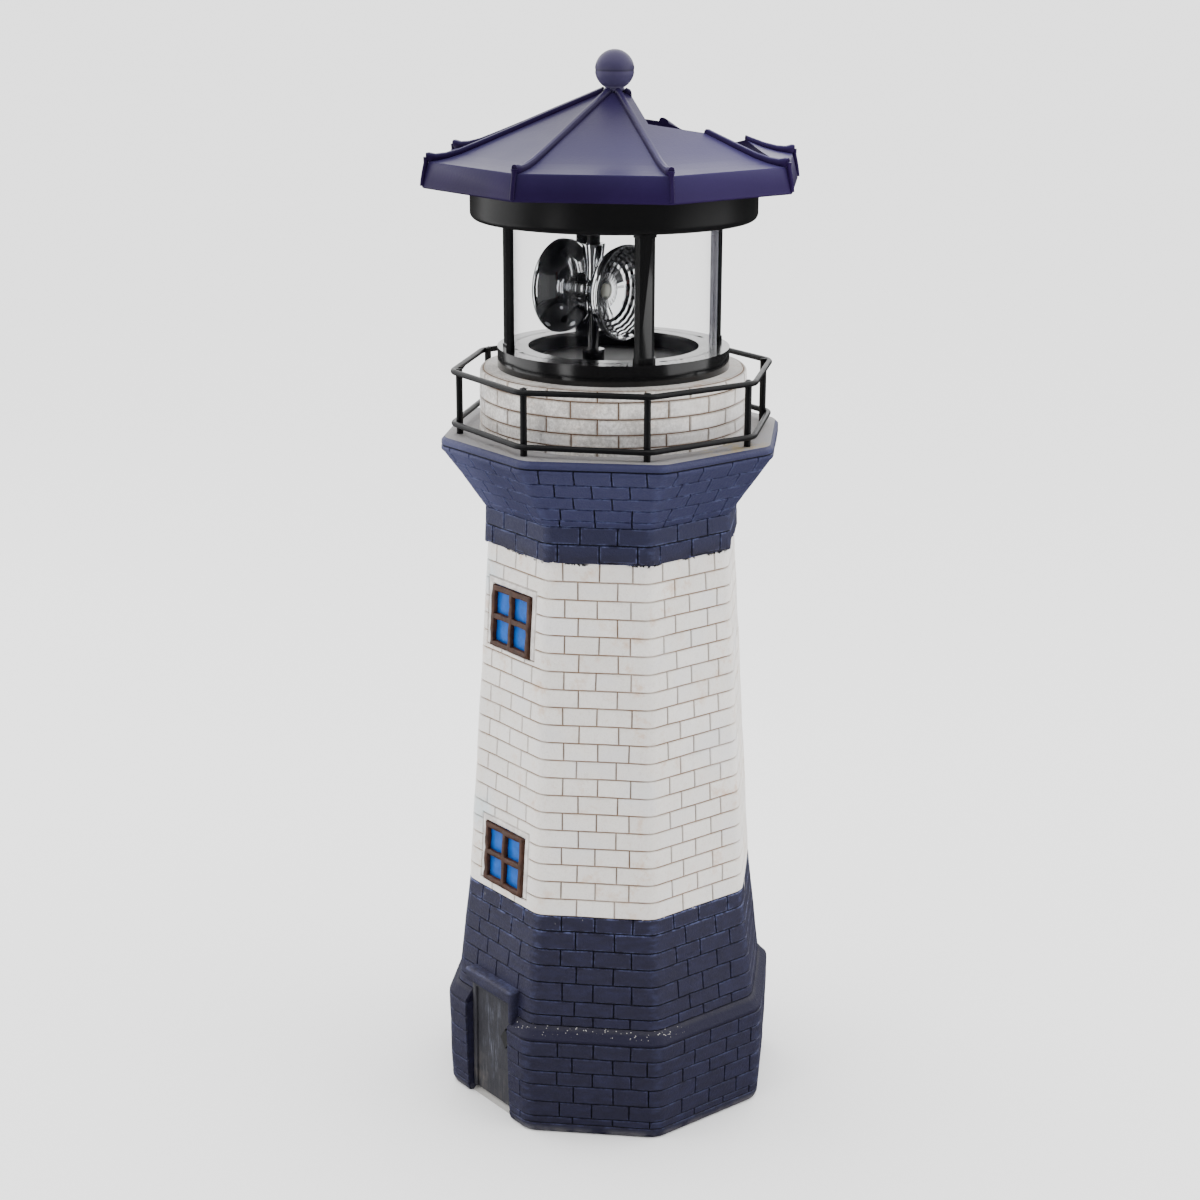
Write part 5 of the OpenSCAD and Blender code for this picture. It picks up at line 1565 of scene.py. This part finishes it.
class GARDEN_OT_lantern(bpy.types.Operator):
    """Finish the lantern's plastic, its clear cylinder, its solar panel and what it holds"""

    bl_idname = "garden.lantern"
    bl_label = "Lantern"

    def execute(self, context):
        settings = context.scene.garden_lantern
        black = tuple(settings.plastic)
        satin = moulded("black_satin_plastic", black, 0.34, 0.02, 0.15)
        gloss = moulded("black_gloss_plastic", black, 0.17, 0.0, 0.42)
        dull = moulded("black_dull_plastic", scaled(black, 1.6), 0.55, 0.0, 0.25)
        zinc = metal("zinc_steel", (0.58, 0.59, 0.61), 0.32)
        finishes = {
            satin: ("upper_housing", "base_cup", "switch_body", "battery_door"),
            gloss: ("lantern_frame", "beacon_spindle"),
            dull: ("chassis_plate", "lamp_stem", "gearbox_plate"),
            clear_wall(settings): ("lantern_glass",),
            solar_cells(): ("solar_panel",),
            zinc: (
                "roof_screws", "cup_screws", "gearbox_screws", "idler_pin", "drive_motor", "battery_contacts",
                "motor_shaft", "battery_door_screw",
            ),
            moulded("board_green", (0.020, 0.120, 0.045), 0.30): ("control_board",),
            moulded("lead_red", (0.19, 0.012, 0.012), 0.45): ("panel_lead", "post_lead"),
            moulded("battery_green", (0.035, 0.19, 0.075), 0.28): ("battery",),
            metal("pinion_brass", (0.72, 0.50, 0.20), 0.30): ("motor_pinion",),
            moulded("gear_white", (0.72, 0.69, 0.62), 0.42): ("output_gear", "idler_gear"),
            moulded("switch_white", (0.62, 0.62, 0.60), 0.32): ("switch_knob",),
            moulded("lamp_clear", (0.86, 0.85, 0.74), 0.10): ("led_lamp",),
        }
        for material, nodes in finishes.items():
            for node in nodes:
                dress(node, material)
        for node, width in (("lantern_frame", 0.0005), ("upper_housing", 0.0003), ("beacon_spindle", 0.0003)):
            softened(node, width)
        return {"FINISHED"}


# ---------- stage ----------

CAMERA_PLACE = Vector((0.5757, -0.4578, 0.4013))
CAMERA_TARGET = Vector((0.0, 0.0, 0.1794))
FLOOR_REACH = 23.0
BACKDROP_RADIUS = 21.5
SKY_STRENGTH = 0.08


def softbox(name, watts, size, place, aim):
    """An area light, so wide and so high, that faces a point."""
    light = bpy.data.lights.new(name, "AREA")
    light.energy = watts
    light.shape = "RECTANGLE"
    light.size, light.size_y = size
    lamp = placed(name, light)
    lamp.location = place
    lamp.rotation_euler = (Vector(aim) - Vector(place)).to_track_quat("-Z", "Y").to_euler()


class GARDEN_OT_stage(bpy.types.Operator):
    """Set the camera, the pale floor and the soft lights"""

    bl_idname = "garden.stage"
    bl_label = "Stage"

    def execute(self, context):
        settings = context.scene.garden_stage
        scene = context.scene
        camera = bpy.data.cameras.new("photo_camera")
        camera.sensor_width = 36.0
        camera.lens = 65.57
        camera.shift_x = -0.0103
        camera.clip_start = 0.01
        camera.clip_end = 40.0
        eye = placed("photo_camera", camera)
        eye.location = CAMERA_PLACE
        look = (CAMERA_TARGET - CAMERA_PLACE).to_track_quat("-Z", "Y").to_matrix().to_4x4()
        eye.rotation_euler = (look @ turned(0.25)).to_euler()
        scene.camera = eye
        bm = bmesh.new()
        bmesh.ops.create_grid(bm, x_segments=4, y_segments=4, size=FLOOR_REACH)
        floor = placed("pale_floor", mesh_of(bm, "pale_floor"))
        board = Board("floor_paper", roughness=0.9, specular_ior_level=0.1)
        cloud = board.noise(300.0, 2.0)
        tint = tuple(settings.floor)
        board.set("Base Color", board.mix(cloud, tint, scaled(tint, 1.02)))
        bm = bmesh.new()
        bmesh.ops.create_cone(
            bm, cap_ends=False, segments=48, radius1=BACKDROP_RADIUS, radius2=BACKDROP_RADIUS, depth=36.0,
        )
        backdrop = placed("pale_backdrop", mesh_of(bm, "pale_backdrop"))
        for piece in (floor, backdrop):
            piece.data.materials.append(board.material)
            piece.visible_glossy = False
        backdrop.visible_diffuse = False
        backdrop.visible_shadow = False
        world = bpy.data.worlds.new("studio_shade")
        world.use_nodes = True
        shade = world.node_tree.nodes["Background"]
        shade.inputs[0].default_value = (1.0, 1.0, 1.0, 1.0)
        shade.inputs[1].default_value = SKY_STRENGTH
        scene.world = world
        dome = bpy.data.lights.new("overhead_dome", "SUN")
        dome.energy = settings.overhead
        dome.angle = math.radians(130.0)
        lamp = placed("overhead_dome", dome)
        lamp.location = (-0.5, 0.4, 1.5)
        lamp.rotation_euler = lamp.location.to_track_quat("Z", "Y").to_euler()
        for name, turn, high in (("left_softbox", 218.0, 0.15), ("right_softbox", 40.0, 0.45)):
            place = out_of(turn) + Vector((0, 0, high))
            softbox(name, settings.side_watts, (1.0, 1.0), place, (0.0, 0.0, 0.22))
        strip = settings.side_watts * 0.30
        softbox("strip_light", strip, (0.20, 0.9), out_of(275.0) + Vector((0, 0, 0.35)), (0.0, 0.0, 0.27))
        return {"FINISHED"}


# ---------- add-on ----------


class GARDEN_PT_lighthouse(bpy.types.Panel):
    """Lists the lighthouse's pieces and their settings"""

    bl_label = "Garden Lighthouse"
    bl_idname = "GARDEN_PT_lighthouse"
    bl_space_type = "VIEW_3D"
    bl_region_type = "UI"
    bl_category = "Lighthouse"

    def draw(self, context):
        layout = self.layout
        for operator in OPERATORS:
            layout.operator(operator.bl_idname)
        for name, group in GROUPS.items():
            box = layout.box()
            box.label(text=group.__name__.replace("Settings", ""))
            settings = getattr(context.scene, name)
            for key in group.__annotations__:
                box.prop(settings, key)


OPERATORS = (
    GARDEN_OT_stage,
    GARDEN_OT_casting,
    GARDEN_OT_door,
    GARDEN_OT_windows,
    GARDEN_OT_railing,
    GARDEN_OT_roof,
    GARDEN_OT_finial,
    GARDEN_OT_reflectors,
    GARDEN_OT_lantern,
)
GROUPS = {
    "garden_tower": TowerSettings,
    "garden_door": DoorSettings,
    "garden_railing": RailingSettings,
    "garden_roof": RoofSettings,
    "garden_lantern": LanternSettings,
    "garden_stage": StageSettings,
}


def register():
    for group in GROUPS.values():
        bpy.utils.register_class(group)
    for operator in OPERATORS:
        bpy.utils.register_class(operator)
    bpy.utils.register_class(GARDEN_PT_lighthouse)
    for name, group in GROUPS.items():
        setattr(bpy.types.Scene, name, bpy.props.PointerProperty(type=group))


def unregister():
    for name in GROUPS:
        delattr(bpy.types.Scene, name)
    bpy.utils.unregister_class(GARDEN_PT_lighthouse)
    for operator in reversed(OPERATORS):
        bpy.utils.unregister_class(operator)
    for group in reversed(GROUPS.values()):
        bpy.utils.unregister_class(group)


def main():
    register()
    bpy.ops.garden.stage()
    bpy.ops.garden.casting()
    bpy.ops.garden.door()
    bpy.ops.garden.windows()
    bpy.ops.garden.railing()
    bpy.ops.garden.roof()
    bpy.ops.garden.finial()
    bpy.ops.garden.reflectors()
    bpy.ops.garden.lantern()


if __name__ == "__main__":
    main()
